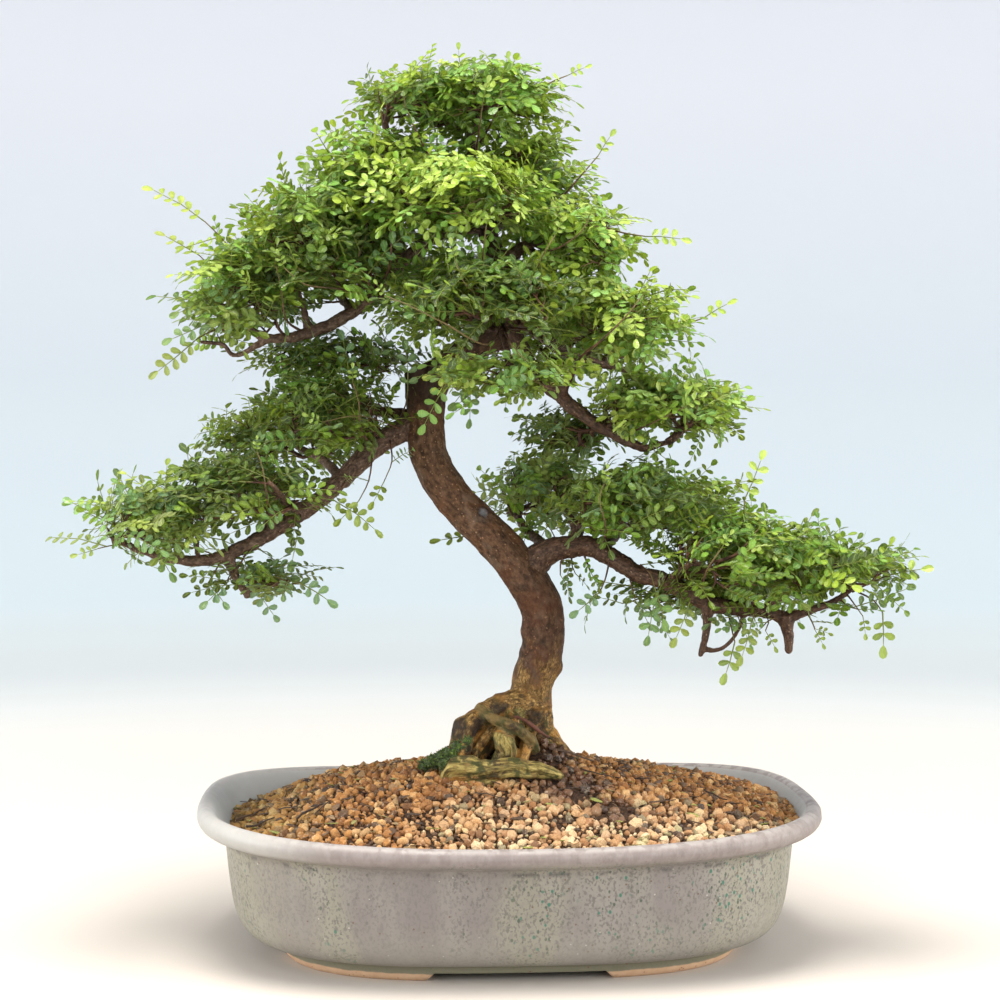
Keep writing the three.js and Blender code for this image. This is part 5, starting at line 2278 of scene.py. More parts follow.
DUST = {
    "lower_right_branch": 0.12, "upper_left_branch": 0.85, "lower_left_branch": 0.55,
    "high_right_branch": 0.7
}

SPRAYS = (
    Spray(
        "left_tip", Slot.YOUNG_LEAF, ("lower_left_branch",), 1.0, olive=0.6, shift=(5, 0, -5),
        stretch=(1.02, 1, 1.15), shoots=(
            Shoot(((-183, -20, 207), (-194, -20, 214), (-205, -20, 220)), (-228, -21, 227), 3, 0.85, 0.5),
            Shoot(((-188, -18, 206), (-199, -21, 207), (-209, -24, 205)), (-222, -25, 199), 3, 0.8, 0.5),
        ),
    ),
    Spray(
        "left_middle", Slot.LEAF, ("lower_left_branch",), 0.48, 1.2, olive=0.15, shift=(4, 0, -11),
        stretch=(1.05, 1, 1.15), shoots=(
            Shoot(((-151, -12, 201), (-160, -23, 205), (-164, -27, 206)), (-177, -30, 196), 2, 0.62, 0.6),
            Shoot(((-120, -9, 215), (-122, -52, 228), (-124, -58, 245), (-127, -56, 254)), (-127, -59, 263),
                  thick=0.9),
        ),
    ),
    Spray(
        "left_inner", Slot.SHADED_LEAF, ("lower_left_branch", "inner_left_branch"), 0.56, 1.05, olive=0.1,
        shoots=(
            Shoot(((-53, 6, 265), (-76, -41, 272), (-95, -42, 269)), (-106, -44, 272), thick=0.5),
            Shoot(((-70, 4, 256), (-76, -39, 266), (-77, -45, 279), (-80, -43, 289)), (-81, -46, 299),
                  thick=0.8),
            Shoot(((-84, -10, 239), (-87, -18, 234), (-91, -22, 230)), (-63, -26, 212), 1, 0.8, 0.55),
            Shoot(((-70, -5, 252), (-72, -13, 239), (-77, -17, 229)), (-88, -18, 214), 2, 0.6, 0.3),
            Shoot(((-61, -4, 260), (-60, -10, 249), (-64, -14, 239)), (-70, -15, 223), 2, 0.6, 0.3),
        ),
    ),
    Spray(
        "left_top", Slot.SHADED_LEAF, ("inner_left_branch", "lower_left_branch"), 0.58, 1.3, olive=0.25,
        shift=(10, 0, 3), stretch=(1.15, 1, 1.1), shoots=(
            Shoot(((-78, 31, 285), (-69, 5, 294), (-67, -4, 300)), (-63, -6, 321), tone=0.42, olive=0.6),
            Shoot(((-71, 23, 278), (-77, -17, 278), (-83, -21, 279)), (-104, -23, 285), tone=0.46, olive=0.7),
            Shoot(((-56, 12, 270), (-53, -11, 278), (-52, -15, 285)), (-50, -19, 312), tone=0.42, olive=0.65),
            Shoot(((-75, 23, 282), (-79, -11, 286), (-82, -17, 290)), (-83, -21, 317), tone=0.44, olive=0.65),
        ),
    ),
    Spray(
        "left_under", Slot.SHADED_LEAF, ("lower_left_branch",), 0.5, flat=0.95, olive=0.6, shoots=(
            Shoot(((-107, -13, 223), (-107, -17, 219), (-108, -20, 215)), (-109, -20, 192), tone=0.35,
                  olive=0.35),
            Shoot(((-133, -13, 206), (-139, -17, 194), (-144, -19, 188)), (-156, -20, 172), 2, 0.5, 0.85),
            Shoot(((-127, -16, 188), (-116, -19, 186), (-107, -21, 187)), (-87, -24, 175), 3, 0.5, 0.8),
            Shoot(((-146, -14, 201), (-151, -17, 192), (-154, -18, 187)), (-142, -21, 174), 1, 0.5, 0.8),
        ),
    ),
    Spray("left_back", Slot.LEAF, ("lower_left_branch",), 0.66, olive=0.2),
    Spray(
        "upper_left_tip", Slot.YOUNG_LEAF, ("upper_left_branch",), 1.05, olive=0.45, shift=(12, 0, -11),
        stretch=(0.86, 1, 1.05), shoots=(
            Shoot(((-138, -13, 326), (-151, -14, 331), (-156, -15, 331)), (-172, -17, 320), 1, 0.72, 0.6),
            Shoot(((-139, -13, 322), (-148, -14, 322), (-153, -15, 320)), (-175, -16, 305), tone=0.72,
                  olive=0.7),
            Shoot(((-107, -11, 316), (-113, -49, 320), (-115, -55, 334), (-118, -52, 348)),
                  (-118, -55, 360), thick=0.8),
            Shoot(((-131, -13, 332), (-138, -15, 351), (-146, -16, 362), (-155, -18, 371)),
                  (-186, -18, 389), 4, 0.88, 0.4),
            Shoot(((-142, -13, 316), (-151, -14, 316), (-160, -15, 311)), (-182, -16, 289), 2, 0.74, 0.7),
            Shoot(((-139, -13, 332), (-148, -14, 344), (-158, -16, 354)), (-182, -16, 362), 3, 0.88, 0.4),
        ),
    ),
    Spray(
        "upper_left_middle", Slot.LEAF, ("upper_left_branch",), 0.72, olive=0.1, shift=(10, 0, -17),
        stretch=(1.2, 1, 1.3), shoots=(
            Shoot(((-67, -4, 338), (-62, -54, 345), (-61, -62, 359), (-63, -58, 372)), (-64, -61, 383),
                  thick=1.0),
            Shoot(((-71, -3, 333), (-84, -57, 334), (-103, -63, 336), (-113, -61, 344)), (-118, -63, 353),
                  thick=0.8),
        ),
    ),
    Spray(
        "upper_left_back", Slot.LEAF, ("upper_left_branch",), 0.66, shift=(8, 0, -6),
        stretch=(0.95, 1, 1.05)
    ),
    Spray(
        "shoulder", Slot.YOUNG_LEAF, ("upper_left_branch", "trunk"), 1.25, 1.1, shift=(2, 0, -5),
        stretch=(1, 1, 0.92), shoots=(
            Shoot(((-56, 4, 375), (-60, -48, 381), (-58, -56, 392)), (-55, -59, 403), thick=0.8),
            Shoot(((-27, -8, 391), (-44, -49, 377), (-55, -59, 377), (-45, -57, 386), (-46, -55, 393)),
                  (-45, -58, 401), thick=1.2),
        ),
    ),
    Spray(
        "apex", Slot.YOUNG_LEAF, ("apex_left_branch", "trunk"), 1.02, 1.3, shift=(-3, 0, -9),
        stretch=(0.84, 1, 1.06), shoots=(
            Shoot(((-16, 1, 411), (-8, -44, 424), (-5, -44, 441)), (-3, -47, 454), thick=0.7),
            Shoot(((-17, 1, 403), (-17, -35, 411), (-15, -45, 428)), (-13, -48, 442), thick=1.1),
            Shoot(((-15, -3, 426), (-20, -5, 441), (-24, -6, 451)), (-26, -6, 465), 3, 1.0, 0.0),
            Shoot(((6, -8, 433), (20, -13, 443), (30, -16, 447)), (43, -19, 452), 3, 1.0, 0.0),
        ),
    ),
    Spray(
        "apex_left", Slot.YOUNG_LEAF, ("apex_left_branch",), 1.05, 1.15, shift=(-2, 0, 5), shoots=(
            Shoot(((-35, -10, 395), (-46, -41, 410), (-54, -45, 427), (-53, -43, 434)), (-51, -46, 442),
                  thick=0.8),
        ),
    ),
    Spray(
        "apex_right", Slot.LEAF, ("high_right_branch", "trunk"), 1.0, shift=(-9, 0, 0), stretch=(0.82, 1, 1)
    ),
    Spray(
        "crown_front", Slot.LEAF, ("front_branch", "trunk"), 1.5, 1.2, shift=(-7, 0, -1),
        stretch=(1.1, 1, 1.2), shoots=(
            Shoot(((3, -2, 333), (8, -53, 336), (11, -87, 348), (17, -89, 358)), (22, -93, 368), thick=0.9),
            Shoot(((-10, -1, 338), (-16, -49, 341), (-17, -83, 351), (-16, -89, 362)), (-14, -92, 372),
                  thick=0.95),
        ),
    ),
    Spray("crown_back", Slot.LEAF, ("high_back_branch",), 0.85),
    Spray(
        "high_right", Slot.YOUNG_LEAF, ("high_right_branch",), 1.3, 1.15, shift=(-16, 0, -6),
        stretch=(0.78, 1, 1.05), shoots=(
            Shoot(((12, -9, 361), (19, -57, 354), (32, -68, 362), (36, -67, 370)), (39, -70, 379), thick=0.8),
            Shoot(((46, -21, 370), (58, -24, 366), (69, -27, 364)), (93, -30, 362), 3, 1.0, 0.0),
            Shoot(((27, -14, 384), (40, -17, 399), (46, -17, 406)), (54, -18, 420), 2, 1.0, 0.0),
        ),
    ),
    Spray(
        "centre_front", Slot.LEAF, ("front_branch",), 0.36, 1.3, shift=(-10, 0, -3), stretch=(1.2, 1, 1.15),
        shoots=(
            Shoot(((0, -10, 330), (-24, -93, 332), (-31, -96, 345)), (-35, -99, 356), thick=0.7),
            Shoot(((-4, -40, 315), (-4, -98, 305), (3, -100, 297)), (8, -104, 296), thick=0.7),
            Shoot(((-2, -20, 324), (-15, -85, 306), (-36, -102, 315), (-53, -95, 324), (-64, -86, 329)),
                  (-71, -89, 336)),
        ),
    ),
    Spray(
        "front_spray", Slot.LEAF, ("front_branch",), 1.45, 1.25, flat=0.9, olive=0.35, shift=(-8, 0, 3),
        stretch=(1.15, 1, 1.4), shoots=(
            Shoot(((-22, -29, 306), (-27, -32, 296), (-33, -34, 288)), (-50, -35, 264), 1, 0.85),
            Shoot(((-13, -35, 304), (-17, -39, 298), (-22, -41, 294)), (-45, -41, 288), 1, 0.95, 0.2),
            Shoot(((-7, -50, 294), (-13, -51, 286), (-18, -51, 281)), (-32, -50, 268), 2, 0.85, 0.0),
        ),
    ),
    Spray(
        "right_upper", Slot.LEAF, ("upper_right_branch",), 1.5, olive=0.1, shift=(-15, 0, 2),
        stretch=(0.86, 1, 1.1), shoots=(
            Shoot(((29, -10, 282), (31, -62, 299), (40, -83, 308), (51, -88, 319), (60, -86, 330)),
                  (65, -90, 339), thick=1.0),
            Shoot(((77, -29, 316), (92, -32, 320), (98, -35, 322)), (115, -38, 331), 3, 1.0, 0.0),
        ),
    ),
    Spray("right_back", Slot.LEAF, ("middle_right_branch",), 0.85, shift=(-11, 0, 0), stretch=(0.86, 1, 1)),
    Spray(
        "right_lower", Slot.LEAF, ("upper_right_branch",), 1.25, 1.35, olive=0.3, shift=(-1, 0, 1),
        stretch=(1.0, 1, 1.25), shoots=(
            Shoot(((57, -17, 261), (68, -55, 268), (83, -68, 276)), (94, -71, 284), thick=0.6),
        ),
    ),
    Spray(
        "right_hanging", Slot.SHADED_LEAF, ("upper_right_branch", "middle_right_branch"), 0.55, 1.4,
        flat=0.95, olive=0.45, shift=(2, 0, 2), stretch=(1.1, 1, 1.2)
    ),
    Spray(
        "centre_back", Slot.LEAF, ("back_branch",), 0.7, shoots=(
            Shoot(((-12, 61, 327), (-13, 71, 309), (-15, 75, 293)), (-25, 78, 275), 2, 0.5, 0.6),
            Shoot(((-1, 55, 319), (-10, 62, 304), (-16, 68, 291)), (-15, 71, 266), 2, 0.5, 0.6),
            Shoot(((1, 40, 313), (-5, 50, 300), (-9, 56, 291)), (-24, 62, 274), 1, 0.5, 0.5),
        ),
    ),
    Spray(
        "behind_trunk", Slot.SHADED_LEAF, ("lower_right_branch",), 1.1, 1.3, olive=0.9, shift=(3, 0, -7),
        stretch=(1.05, 1, 1.15), shoots=(
            Shoot(((28, -2, 203), (25, 18, 212), (22, 27, 217)), (14, 29, 229), 2, 0.6, 0.7),
            Shoot(((24, -2, 201), (18, 23, 204), (15, 33, 207)), (3, 36, 217), 2, 0.6, 0.8),
            Shoot(((7, 38, 216), (2, 34, 227), (-1, 32, 235)), (-20, 31, 229), 1, 0.55, 0.85),
            Shoot(((10, 43, 221), (9, 41, 234), (6, 42, 244)), (27, 38, 257), 2, 0.6, 0.85),
            Shoot(((-4, 8, 193), (-11, 17, 202), (-18, 19, 209)), (-39, 19, 202), 2, 0.45, 0.35),
        ),
    ),
    Spray(
        "low_right_inner", Slot.SHADED_LEAF, ("lower_right_branch",), 0.66, 1.0, olive=0.2, shift=(4, 0, 2),
        stretch=(1.1, 1, 1.08), shoots=(
            Shoot(((48, -15, 203), (45, -63, 216), (41, -69, 231), (44, -67, 239)), (45, -70, 249),
                  thick=0.8),
        ),
    ),
    Spray("low_right_back", Slot.LEAF, ("lower_right_branch",), 0.75, shift=(0, 0, 5)),
    Spray(
        "low_right_middle", Slot.LEAF, ("lower_right_branch",), 0.82, 1.05, shift=(3, 0, -12),
        stretch=(1.15, 1, 1.35), shoots=(
            Shoot(((97, -33, 180), (91, -90, 197), (97, -97, 208)), (102, -100, 218), thick=0.8),
            Shoot(((129, -41, 173), (129, -51, 168), (127, -53, 164)), (133, -55, 153), 2, 0.62, 0.45),
            Shoot(((114, -40, 174), (114, -52, 169), (115, -54, 166)), (120, -56, 154), 2, 0.64, 0.45),
            Shoot(((80, -35, 191), (76, -45, 187), (72, -51, 183)), (63, -54, 157), 2, 0.56, 0.5),
            Shoot(((96, -40, 186), (91, -50, 184), (88, -56, 179)), (81, -57, 155), 2, 0.6, 0.5),
            Shoot(((126, -42, 176), (122, -54, 174), (119, -58, 169)), (114, -60, 146), 1, 0.6, 0.5),
            Shoot(((67, -28, 196), (70, -45, 192), (71, -51, 186)), (78, -53, 164), 1, 0.58, 0.4),
            Shoot(((112, -43, 199), (116, -48, 216), (117, -48, 230)), (130, -51, 254), 3, 1.0, 0.0),
            Shoot(((110, -41, 173), (111, -47, 164), (112, -50, 158)), (106, -51, 136), 2, 0.62, 0.45),
        ),
    ),
    Spray(
        "low_right_outer", Slot.YOUNG_LEAF, ("lower_right_branch",), 0.8, 1.1, shift=(0, 0, -3),
        stretch=(1.08, 1, 1.4), shoots=(
            Shoot(((128, -41, 174), (119, -46, 171), (116, -48, 169)), (106, -49, 163), 2, 0.5, 0.55),
            Shoot(((165, -49, 180), (169, -55, 176), (173, -58, 175)), (186, -60, 173), 3, 0.7, 0.4),
            Shoot(((149, -46, 174), (151, -52, 168), (152, -54, 165)), (161, -57, 162), 2, 0.6, 0.45),
            Shoot(((139, -42, 172), (129, -47, 168), (126, -48, 165)), (119, -50, 159), 2, 0.6, 0.5),
            Shoot(((169, -51, 182), (171, -61, 177), (174, -64, 172)), (176, -66, 160), 2, 0.66, 0.4),
            Shoot(((149, -46, 173), (150, -56, 169), (151, -58, 165)), (156, -60, 155), 2, 0.62, 0.4),
        ),
    ),
    Spray(
        "low_right_tip", Slot.YOUNG_LEAF, ("lower_right_branch",), 0.9, shift=(-10, 0, 3), shoots=(
            Shoot(((175, -50, 183), (182, -54, 179), (186, -56, 173)), (188, -59, 150), 2, 0.66, 0.45),
            Shoot(((172, -49, 183), (181, -52, 188), (190, -55, 192)), (211, -58, 197), 2, 1.0, 0.0),
        ),
    ),
    Spray(
        "low_right_under", Slot.SHADED_LEAF, ("lower_right_branch",), 0.6, 1.0, flat=0.95, olive=0.7,
        shift=(54, 2, -5), stretch=(2.3, 1.1, 1.15), shoots=(
            Shoot(((33, -12, 200), (34, -6, 194), (36, -2, 190)), (43, 3, 181), 1, 0.45, 0.7),
            Shoot(((39, -19, 200), (41, -21, 195), (42, -21, 192)), (48, -23, 181), 1, 0.55, 0.5),
            Shoot(((28, -16, 200), (27, -14, 195), (27, -14, 190)), (34, -12, 179), 1, 0.5, 0.6),
            Shoot(((52, -20, 198), (49, -25, 188), (46, -27, 182)), (32, -28, 167), 2, 0.5, 0.8),
            Shoot(((61, -22, 193), (63, -28, 183), (64, -30, 178)), (72, -33, 162), 2, 0.5, 0.7),
        ),
    ),
)


@dataclass(frozen=True)
class MossFinish:
    """Bright cushion moss, darker between its shoots."""

    def material(self) -> Material:
        """Make the material.

        Returns:
            The material.
        """
        paint = Paint("cushion moss")
        fine = paint.cloud(1.1, 4, 0.7)
        colour = paint.ramp(fine, (
            (0.3, (0.008, 0.018, 0.003)), (0.5, (0.046, 0.085, 0.008)), (0.7, (0.20, 0.29, 0.032)),
        ))
        tint = paint.ramp(paint.value("tint"), (
            (0.0, (0.7, 0.8, 0.6)), (0.6, (1.0, 1.0, 1.0)), (1.0, (1.5, 1.3, 1.0)),
        ))
        colour = paint.blend(1.0, colour, tint, "MULTIPLY")
        return paint.done(colour, 0.85, paint.height(fine, 0.5), Sheen_Weight=0.25)


@dataclass
class MossPatch:
    """The cushion of moss on the soil left of the roots, with short pointed shoots all over it."""

    clumps: tuple[tuple[Spot, float], ...] = (
        ((-26.8, -30.6, 103.6), 3.6),
        ((-22.6, -31.4, 107.0), 2.4),
        ((-30.4, -30.2, 100.4), 4.2),
        ((-34.4, -27.6, 97.6), 4.6),
        ((-38.6, -22.4, 94.8), 4.2),
        ((-33.0, -32.4, 95.6), 3.6),
        ((-42.6, -17.2, 92.6), 3.4),
        ((-29.2, -33.4, 97.2), 2.8),
    )

    def cushion(self) -> Mesh:
        """Make the lumpy cushion.

        Returns:
            Its mesh.
        """
        work = bmesh.new()
        for number, (place, size) in enumerate(self.clumps):
            made = bmesh.ops.create_icosphere(work, subdivisions=3, radius=1)["verts"]
            for corner in made:
                coarse = noise.noise(corner.co * 1.6 + Vector((number, 0, 0)))
                bump = 1 + 0.3 * coarse + 0.16 * noise.noise(corner.co * 4.5)
                spot = [p + c * size * bump * flat for p, c, flat in zip(place, corner.co, (1.0, 0.9, 0.72))]
                corner.co = Vector(placed([spot])[0])
        mesh = bpy.data.meshes.new("moss_cushion")
        work.to_mesh(mesh)
        work.free()
        mesh.shade_smooth()
        write_value(mesh, "tint", np.full(len(mesh.vertices), 0.2))
        write_value(mesh, "cover", np.ones(len(mesh.vertices)))
        return mesh

    def tuft(self, seed: int) -> Mesh:
        """Make one tuft: a few pointed blades that lean apart, one millimetre long.

        Args:
            seed: Which tuft.

        Returns:
            Its mesh.
        """
        chance = random.Random(seed)
        skin = Skin()
        for k in range(5):
            turn = 2 * math.pi * (k + chance.uniform(-0.3, 0.3)) / 5
            lean = chance.uniform(0.25, 0.7)
            way = np.array([math.cos(turn) * lean, math.sin(turn) * lean, 1.0]) * MM
            side = np.array([-math.sin(turn), math.cos(turn), 0]) * 0.17 * MM
            skin.add(
                np.array([-side, side, way * 0.6 + side * 0.8, way * 0.6 - side * 0.8, way]),
                [(0, 1, 2, 3), (3, 2, 4)]
            )
        return skin.mesh("tuft")

    def build(self, strew: GraphTree) -> tuple[Piece, Piece]:
        """Make the cushion and cover a copy of its surface with tufts.

        Args:
            strew: The tree that strews shapes.

        Returns:
            The cushion and its shoots.
        """
        finish = MossFinish().material()
        cushion = thing("moss_cushion", self.cushion(), finish)
        bank = template_bank("tuft", [self.tuft(k) for k in range(5)])
        shoots = strew.run(
            "moss_shoots", self.cushion(), Shapes=bank, Spacing=0.55 * MM, Density=2500000.0,
            Smallest=0.8, Largest=2.3, Upright=0.55, Seed=9, Finish=finish,
        )
        clear_bank(bank)
        return cushion, shoots


@dataclass(frozen=True)
class LitterFinish:
    """Bits on the soil: bark chips, root threads and dropped leaflets."""

    grain_brown: Colour = (0.05, 0.03, 0.02)

    def material(self) -> Material:
        """Make the material.

        Returns:
            The material.
        """
        paint = Paint("bark bits")
        colour = paint.ramp(paint.value("tint"), (
            (0.0, (0.030, 0.020, 0.014)), (0.3, (0.10, 0.055, 0.03)), (0.55, (0.21, 0.12, 0.06)),
            (0.75, (0.36, 0.24, 0.13)), (0.9, (0.30, 0.33, 0.07)), (1.0, (0.42, 0.44, 0.10)),
        ))
        grain = paint.cloud(0.8, 3, 0.7)
        colour = paint.blend(paint.band(grain, 0.4, 0.65, 0.5, 0), colour, self.grain_brown)
        return paint.done(colour, 0.8, paint.height(grain, 0.2))


@dataclass
class Litter:
    """Loose bits strewn thinly over the granules."""

    spacing: float = 8.0
    sticks: tuple[tuple[float, float, float, float, float], ...] = (
        (-107.8, -62, -94.5, -55, 0.9), (-99, -66, -91, -52, 0.6), (-140, -24, -126, -12, 0.8),
        (-134, -40, -120, -44, 0.7), (-118, -30, -108, -42, 0.5), (21, -17, 45, -9, 0.8),
        (36, -30, 52, -38, 0.5), (-20, -60, -6, -66, 0.45), (66, -70, 80, -62, 0.5),
        (98, -40, 108, -52, 0.6),
    )

    def chip(self, seed: int) -> Mesh:
        """Make one bit: a flake, a thread or a leaflet by turns, about a millimetre in half length.

        Args:
            seed: Which bit; its shape is taken by turns.

        Returns:
            Its mesh.
        """
        chance = random.Random(seed)
        kind = seed % 3
        long, wide, flat = ((1.7, 0.9, 0.25), (3.6, 0.18, 0.18), (2.6, 1.35, 0.12))[kind]
        arch = chance.uniform(0.1, 0.5)
        skin = Skin()
        turns = 6
        rows = []
        for t in np.linspace(-1, 1, 5):
            swell = math.sqrt(max(0.0, 1 - 0.92 * t * t)) if kind != 1 else 1.0
            spot = np.array([t * long, arch * t * t * (1 + kind % 2), flat + 0.25 * arch * (1 - t * t)])
            for k in range(turns):
                angle = 2 * math.pi * k / turns
                rows.append(
                    spot + np.array([0, math.cos(angle) * wide * swell, math.sin(angle) * flat * swell])
                )
        index = np.arange(len(rows)).reshape(-1, turns)
        skin.add(np.array(rows) * MM, [*ring_faces(index), index[0][::-1], index[-1]])
        return skin.mesh("bit")

    def build(self, strew: GraphTree, ground: Mesh) -> Piece:
        """Strew the bits over the soil.

        Args:
            strew: The tree that strews shapes.
            ground: The surface that they lie on.

        Returns:
            The piece.
        """
        spots = read_points(ground)
        bank = template_bank("bit", [self.chip(k) for k in range(9)])
        bits = strew.run(
            "soil_litter", ground, Shapes=bank, Spacing=self.spacing * MM, Density=60000.0,
            Smallest=0.8, Largest=1.8, Upright=1.0, Seed=21, Finish=LitterFinish().material(),
        )
        clear_bank(bank)
        self.add_sticks(bits, spots)
        return bits

    def add_sticks(self, bits: Piece, ground: np.ndarray) -> None:
        """Lay a few thin dark twigs on the soil.

        Args:
            bits: The piece that they join.
            ground: Points of the soil's surface.
        """
        work = bmesh.new()
        work.from_mesh(bits.data)
        tint = work.verts.layers.float.get("tint")
        finish = next(iter(work.faces)).material_index
        for number, (x0, y0, x1, y1, thick) in enumerate(self.sticks):
            part = np.linspace(0, 1, 6)[:, None]
            sway = 0.9 * lumps(np.hstack([part * 40, part, part]), 9, number)[:, None]
            line = np.hstack([(x0, y0) + part * (x1 - x0, y1 - y0) + sway, part])
            away = np.linalg.norm(placed(line)[:, None, :2] - ground[None, :, :2], axis=2)
            line[:, 2] = ground[away.argmin(1), 2] / MM + 2.2 + 0.6 * np.sin(3 * part[:, 0] + number)
            angle = even_angles(5)
            rim = np.stack([np.zeros(5), np.cos(angle), np.sin(angle)], -1)
            radii = np.linspace(thick, 0.5 * thick, 6)[:, None, None]
            points = (line[:, None] + rim[None] * radii).reshape(-1, 3)
            corners = [work.verts.new(spot) for spot in placed(points).tolist()]
            for corner in corners:
                corner[tint] = 0.06 + 0.1 * (number % 3)
            index = np.arange(30).reshape(6, 5)
            for face in [*ring_faces(index), index[0][::-1], index[-1]]:
                work.faces.new([corners[k] for k in face]).material_index = finish
        work.to_mesh(bits.data)
        work.free()


@dataclass(frozen=True)
class NettingFinish:
    """Black plastic drain netting, woven square."""

    gap_black: Colour = (0.008, 0.008, 0.009)
    thread_black: Colour = (0.035, 0.038, 0.04)

    def material(self) -> Material:
        """Make the material.

        Returns:
            The material.
        """
        paint = Paint("drain netting")
        wales = [paint.math("SINE", paint.times(paint.axis(name), 2 * math.pi / (2.2 * MM))) for name in "XY"]
        weave = paint.band(paint.math("MAXIMUM", *wales), 0.2, 0.8)
        colour = paint.blend(weave, self.gap_black, self.thread_black)
        return paint.done(colour, paint.band(paint.cloud(3), 0.3, 0.7, 0.45, 0.6), paint.height(weave, 0.5))


@dataclass(frozen=True)
class WireFinish:
    """Annealed aluminium wire, dull and a little scratched."""

    scratch_brown: Colour = (0.20, 0.15, 0.11)
    dull_metal: Colour = (0.42, 0.36, 0.31)

    def material(self) -> Material:
        """Make the material.

        Returns:
            The material.
        """
        paint = Paint("aluminium wire")
        scratch = paint.cloud(0.6, 3, at=paint.stretched(paint.place, (0.2, 1, 1)))
        colour = paint.blend(scratch, self.scratch_brown, self.dull_metal)
        rough = paint.band(scratch, 0.3, 0.7, 0.5, 0.34)
        return paint.done(colour, rough, paint.height(scratch, 0.05), Metallic=1.0)


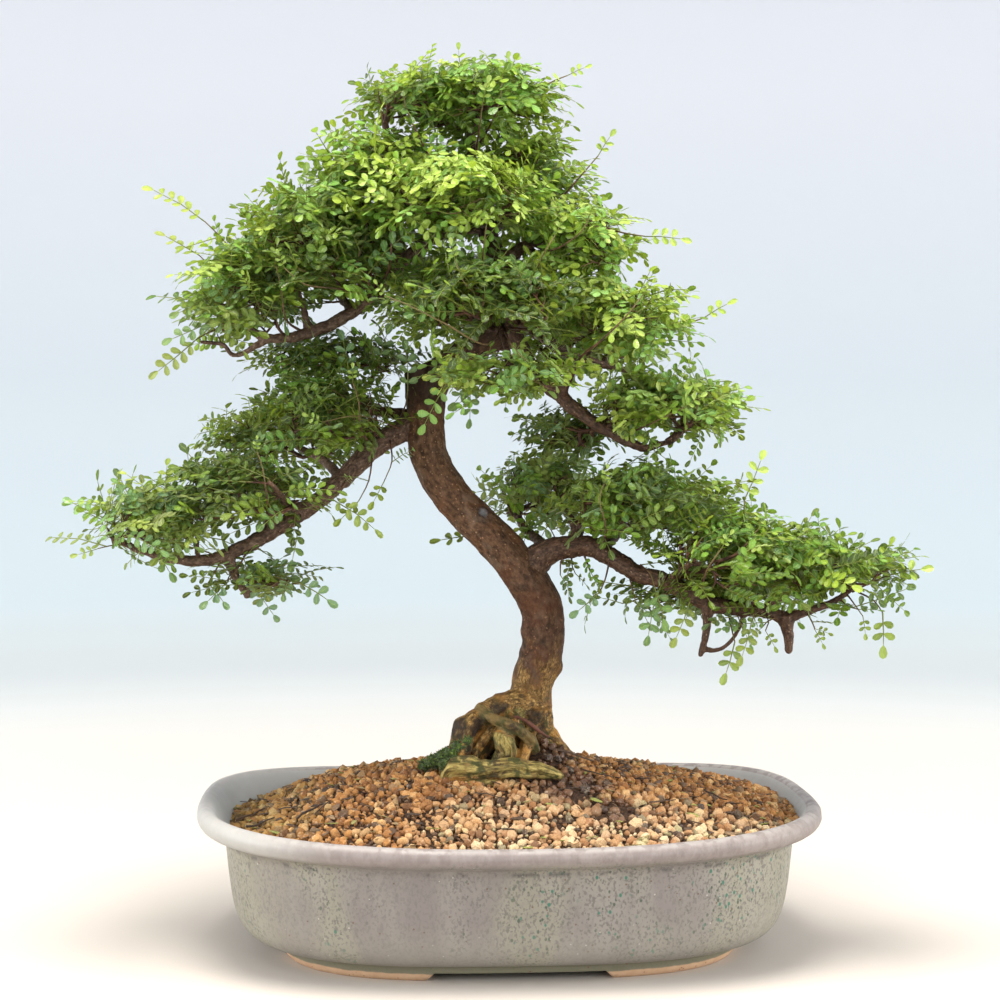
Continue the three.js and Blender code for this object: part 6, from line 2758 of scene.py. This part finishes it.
@dataclass
class Studio:
    """A pale bowl of a backdrop, soft lights and the camera."""

    height: float = 262.0
    distance: float = 1100.0
    turn: float = 3.8
    aside: float = 3.4
    pitch: float = 1.745
    lens: float = 75.67
    sky: Stop = (0.98, 0.98, 1.0, 1.0)
    sky_strength: float = 0.62
    lamps: tuple[tuple[str, Spot, Spot, float, float, Colour], ...] = (
        ("top_light", (-0.1, -0.2, 1.7), (0, 0, 0.25), 0.95, 45, (1.0, 0.955, 0.885)),
        ("front_light", (0.5, -1.8, 0.8), (0, 0, 0.2), 1.1, 11, (1.0, 0.96, 0.90)),
        ("left_light", (-1.5, -0.45, 0.5), (0, 0, 0.15), 0.9, 20, (1.0, 0.97, 0.92)),
        ("right_light", (1.5, -0.5, 0.5), (0, 0, 0.15), 0.9, 19, (1.0, 0.97, 0.92)),
    )

    def backdrop(self) -> Piece:
        """Make the floor, which curves up into a wall all round.

        Returns:
            The floor as an object.
        """
        turns = 96
        flat = [(0.35, 0.0), (0.8, 0.0), (1.3, 0.0)]
        bend = [
            (1.3 + 0.9 * math.sin(a), 0.9 * (1 - math.cos(a))) for a in np.linspace(0.12, math.pi / 2, 14)
        ]
        rows = [*flat, *bend, (2.2, 2.4), (2.2, 3.6)]
        skin = Skin()
        angle = even_angles(turns)
        rings = [[(r * math.cos(a), r * math.sin(a), z) for a in angle] for r, z in rows]
        rings = np.array(rings).reshape(-1, 3)
        index = np.arange(len(rings)).reshape(-1, turns)
        faces = [*ring_faces(index, flip=True), *fan_faces(len(rings), index[0])]
        skin.add(np.vstack([rings, [0, 0, 0]]), faces)
        paint = Paint("studio floor")
        away = paint.node("ShaderNodeVectorMath", {0: paint.place}, operation="LENGTH").outputs["Value"]
        level = paint.axis("Z")
        colour = paint.ramp(paint.plus(level, paint.band(away, 0.4, 1.35, 0, 0.1)), (
            (0.0, (0.570, 0.525, 0.478)), (0.07, (0.585, 0.605, 0.600)), (0.16, (0.540, 0.625, 0.665)),
            (0.45, (0.530, 0.585, 0.635)), (0.9, (0.610, 0.630, 0.685)),
        ))
        return thing("studio_floor", skin.mesh("studio_floor"), paint.done(colour, 0.9))

    def lamp(self, name: str, place: Spot, aim: Spot, size: float, power: float, colour: Colour) -> None:
        """Hang one soft light.

        Args:
            name: Its name.
            place: Where it hangs, in metres.
            aim: What it points at, in metres.
            size: How wide it is, in metres.
            power: Its power in watts.
            colour: Its colour.
        """
        data = bpy.data.lights.new(name, "AREA")
        data.shape, data.size, data.energy, data.color = "DISK", size, power, colour
        lamp = bpy.data.objects.new(name, data)
        lamp.location = place
        lamp.rotation_mode = "QUATERNION"
        lamp.rotation_quaternion = (Vector(aim) - Vector(place)).to_track_quat("-Z", "Y")
        bpy.context.scene.collection.objects.link(lamp)

    def light(self) -> None:
        """Hang the lights and set the sky."""
        for lamp in self.lamps:
            self.lamp(*lamp)
        world = bpy.data.worlds.new("studio_sky")
        world.use_nodes = True
        sky = world.node_tree.nodes["Background"]
        sky.inputs["Color"].default_value = self.sky
        sky.inputs["Strength"].default_value = self.sky_strength
        bpy.context.scene.world = world
        bpy.context.scene.view_settings.view_transform = "Standard"

    def shoot(self) -> None:
        """Set up the camera at the photograph's place and angle."""
        turn = Matrix.Rotation(-math.radians(self.turn), 3, "Z")
        spot = turn @ Vector((-self.aside, -self.distance, self.height))
        pitch = math.radians(self.pitch)
        ahead = turn @ Vector((0, math.cos(pitch), -math.sin(pitch)))
        data = bpy.data.cameras.new("camera")
        data.lens, data.sensor_width, data.clip_start, data.clip_end = self.lens, 36.0, 0.01, 50.0
        camera = bpy.data.objects.new("camera", data)
        camera.location = Vector(placed([spot[:]])[0])
        camera.rotation_mode = "QUATERNION"
        camera.rotation_quaternion = ahead.to_track_quat("-Z", "Y")
        bpy.context.scene.collection.objects.link(camera)
        bpy.context.scene.camera = camera


def grow_tree(hang: GraphTree) -> None:
    """Build the trunk, the branches and all their sprays of leaves.

    Args:
        hang: The tree of nodes that hangs leaves.
    """
    trunk, limbs = Trunk().build()
    hand_over(trunk, Slot.BARK, "trunk_with_roots")
    branches = {name: Branch(name, DUST.get(name, 0.2), routes) for name, routes in BRANCHES.items()}
    for branch in branches.values():
        branch.thicken()
    stem = Branch("trunk", 0.0, ())
    stem.wood = Limbs(samples=limbs.samples[1:2])
    carriers = {**branches, "trunk": stem}
    for number, spray in enumerate(SPRAYS):
        spray.grow(carriers, 100 + number)
    bark = TwigFinish().material()
    for name, branch in branches.items():
        hand_over(branch.build(bark), Slot.TWIG_BARK, name)
    bank = template_bank("leaf", [shape.mesh() for shape in LEAF_SHAPES])
    finish = LeafFinish().material()
    for spray in SPRAYS:
        hand_over(spray.build(hang, bank, finish), spray.slot, f"{spray.name}_leaves")
    clear_bank(bank)


def main() -> None:
    """Build the pot, the soil, the tree and the studio."""
    logging.basicConfig(level=logging.INFO, format="%(name)s: %(message)s")
    pot = GlazedPot()
    hand_over(pot.build(), Slot.GLAZE, "pot")
    strew, bed = scatter_tree(), SoilBed()
    mound, granules = bed.build(pot, strew)
    hand_over(mound, Slot.SOIL, "soil")
    hand_over(granules, Slot.SOIL)
    hand_over(Litter().build(strew, bed.surface(pot, -1.2, False).mesh("soil_litter")), Slot.SOIL)
    cushion, shoots = MossPatch().build(strew)
    hand_over(cushion, Slot.MOSS, "moss_patch")
    hand_over(shoots, Slot.MOSS)
    grow_tree(leaf_tree())
    netting, wire = NettingFinish().material(), WireFinish().material()
    for side in ("left", "right"):
        for node, finish in ((f"drain_mesh_{side}", netting), (f"mesh_wire_{side}", wire)):
            frame["nodes"][node].data.materials.clear()
            frame["nodes"][node].data.materials.append(finish)
    studio = Studio()
    studio.backdrop()
    studio.light()
    studio.shoot()


if __name__ == "__main__":
    main()
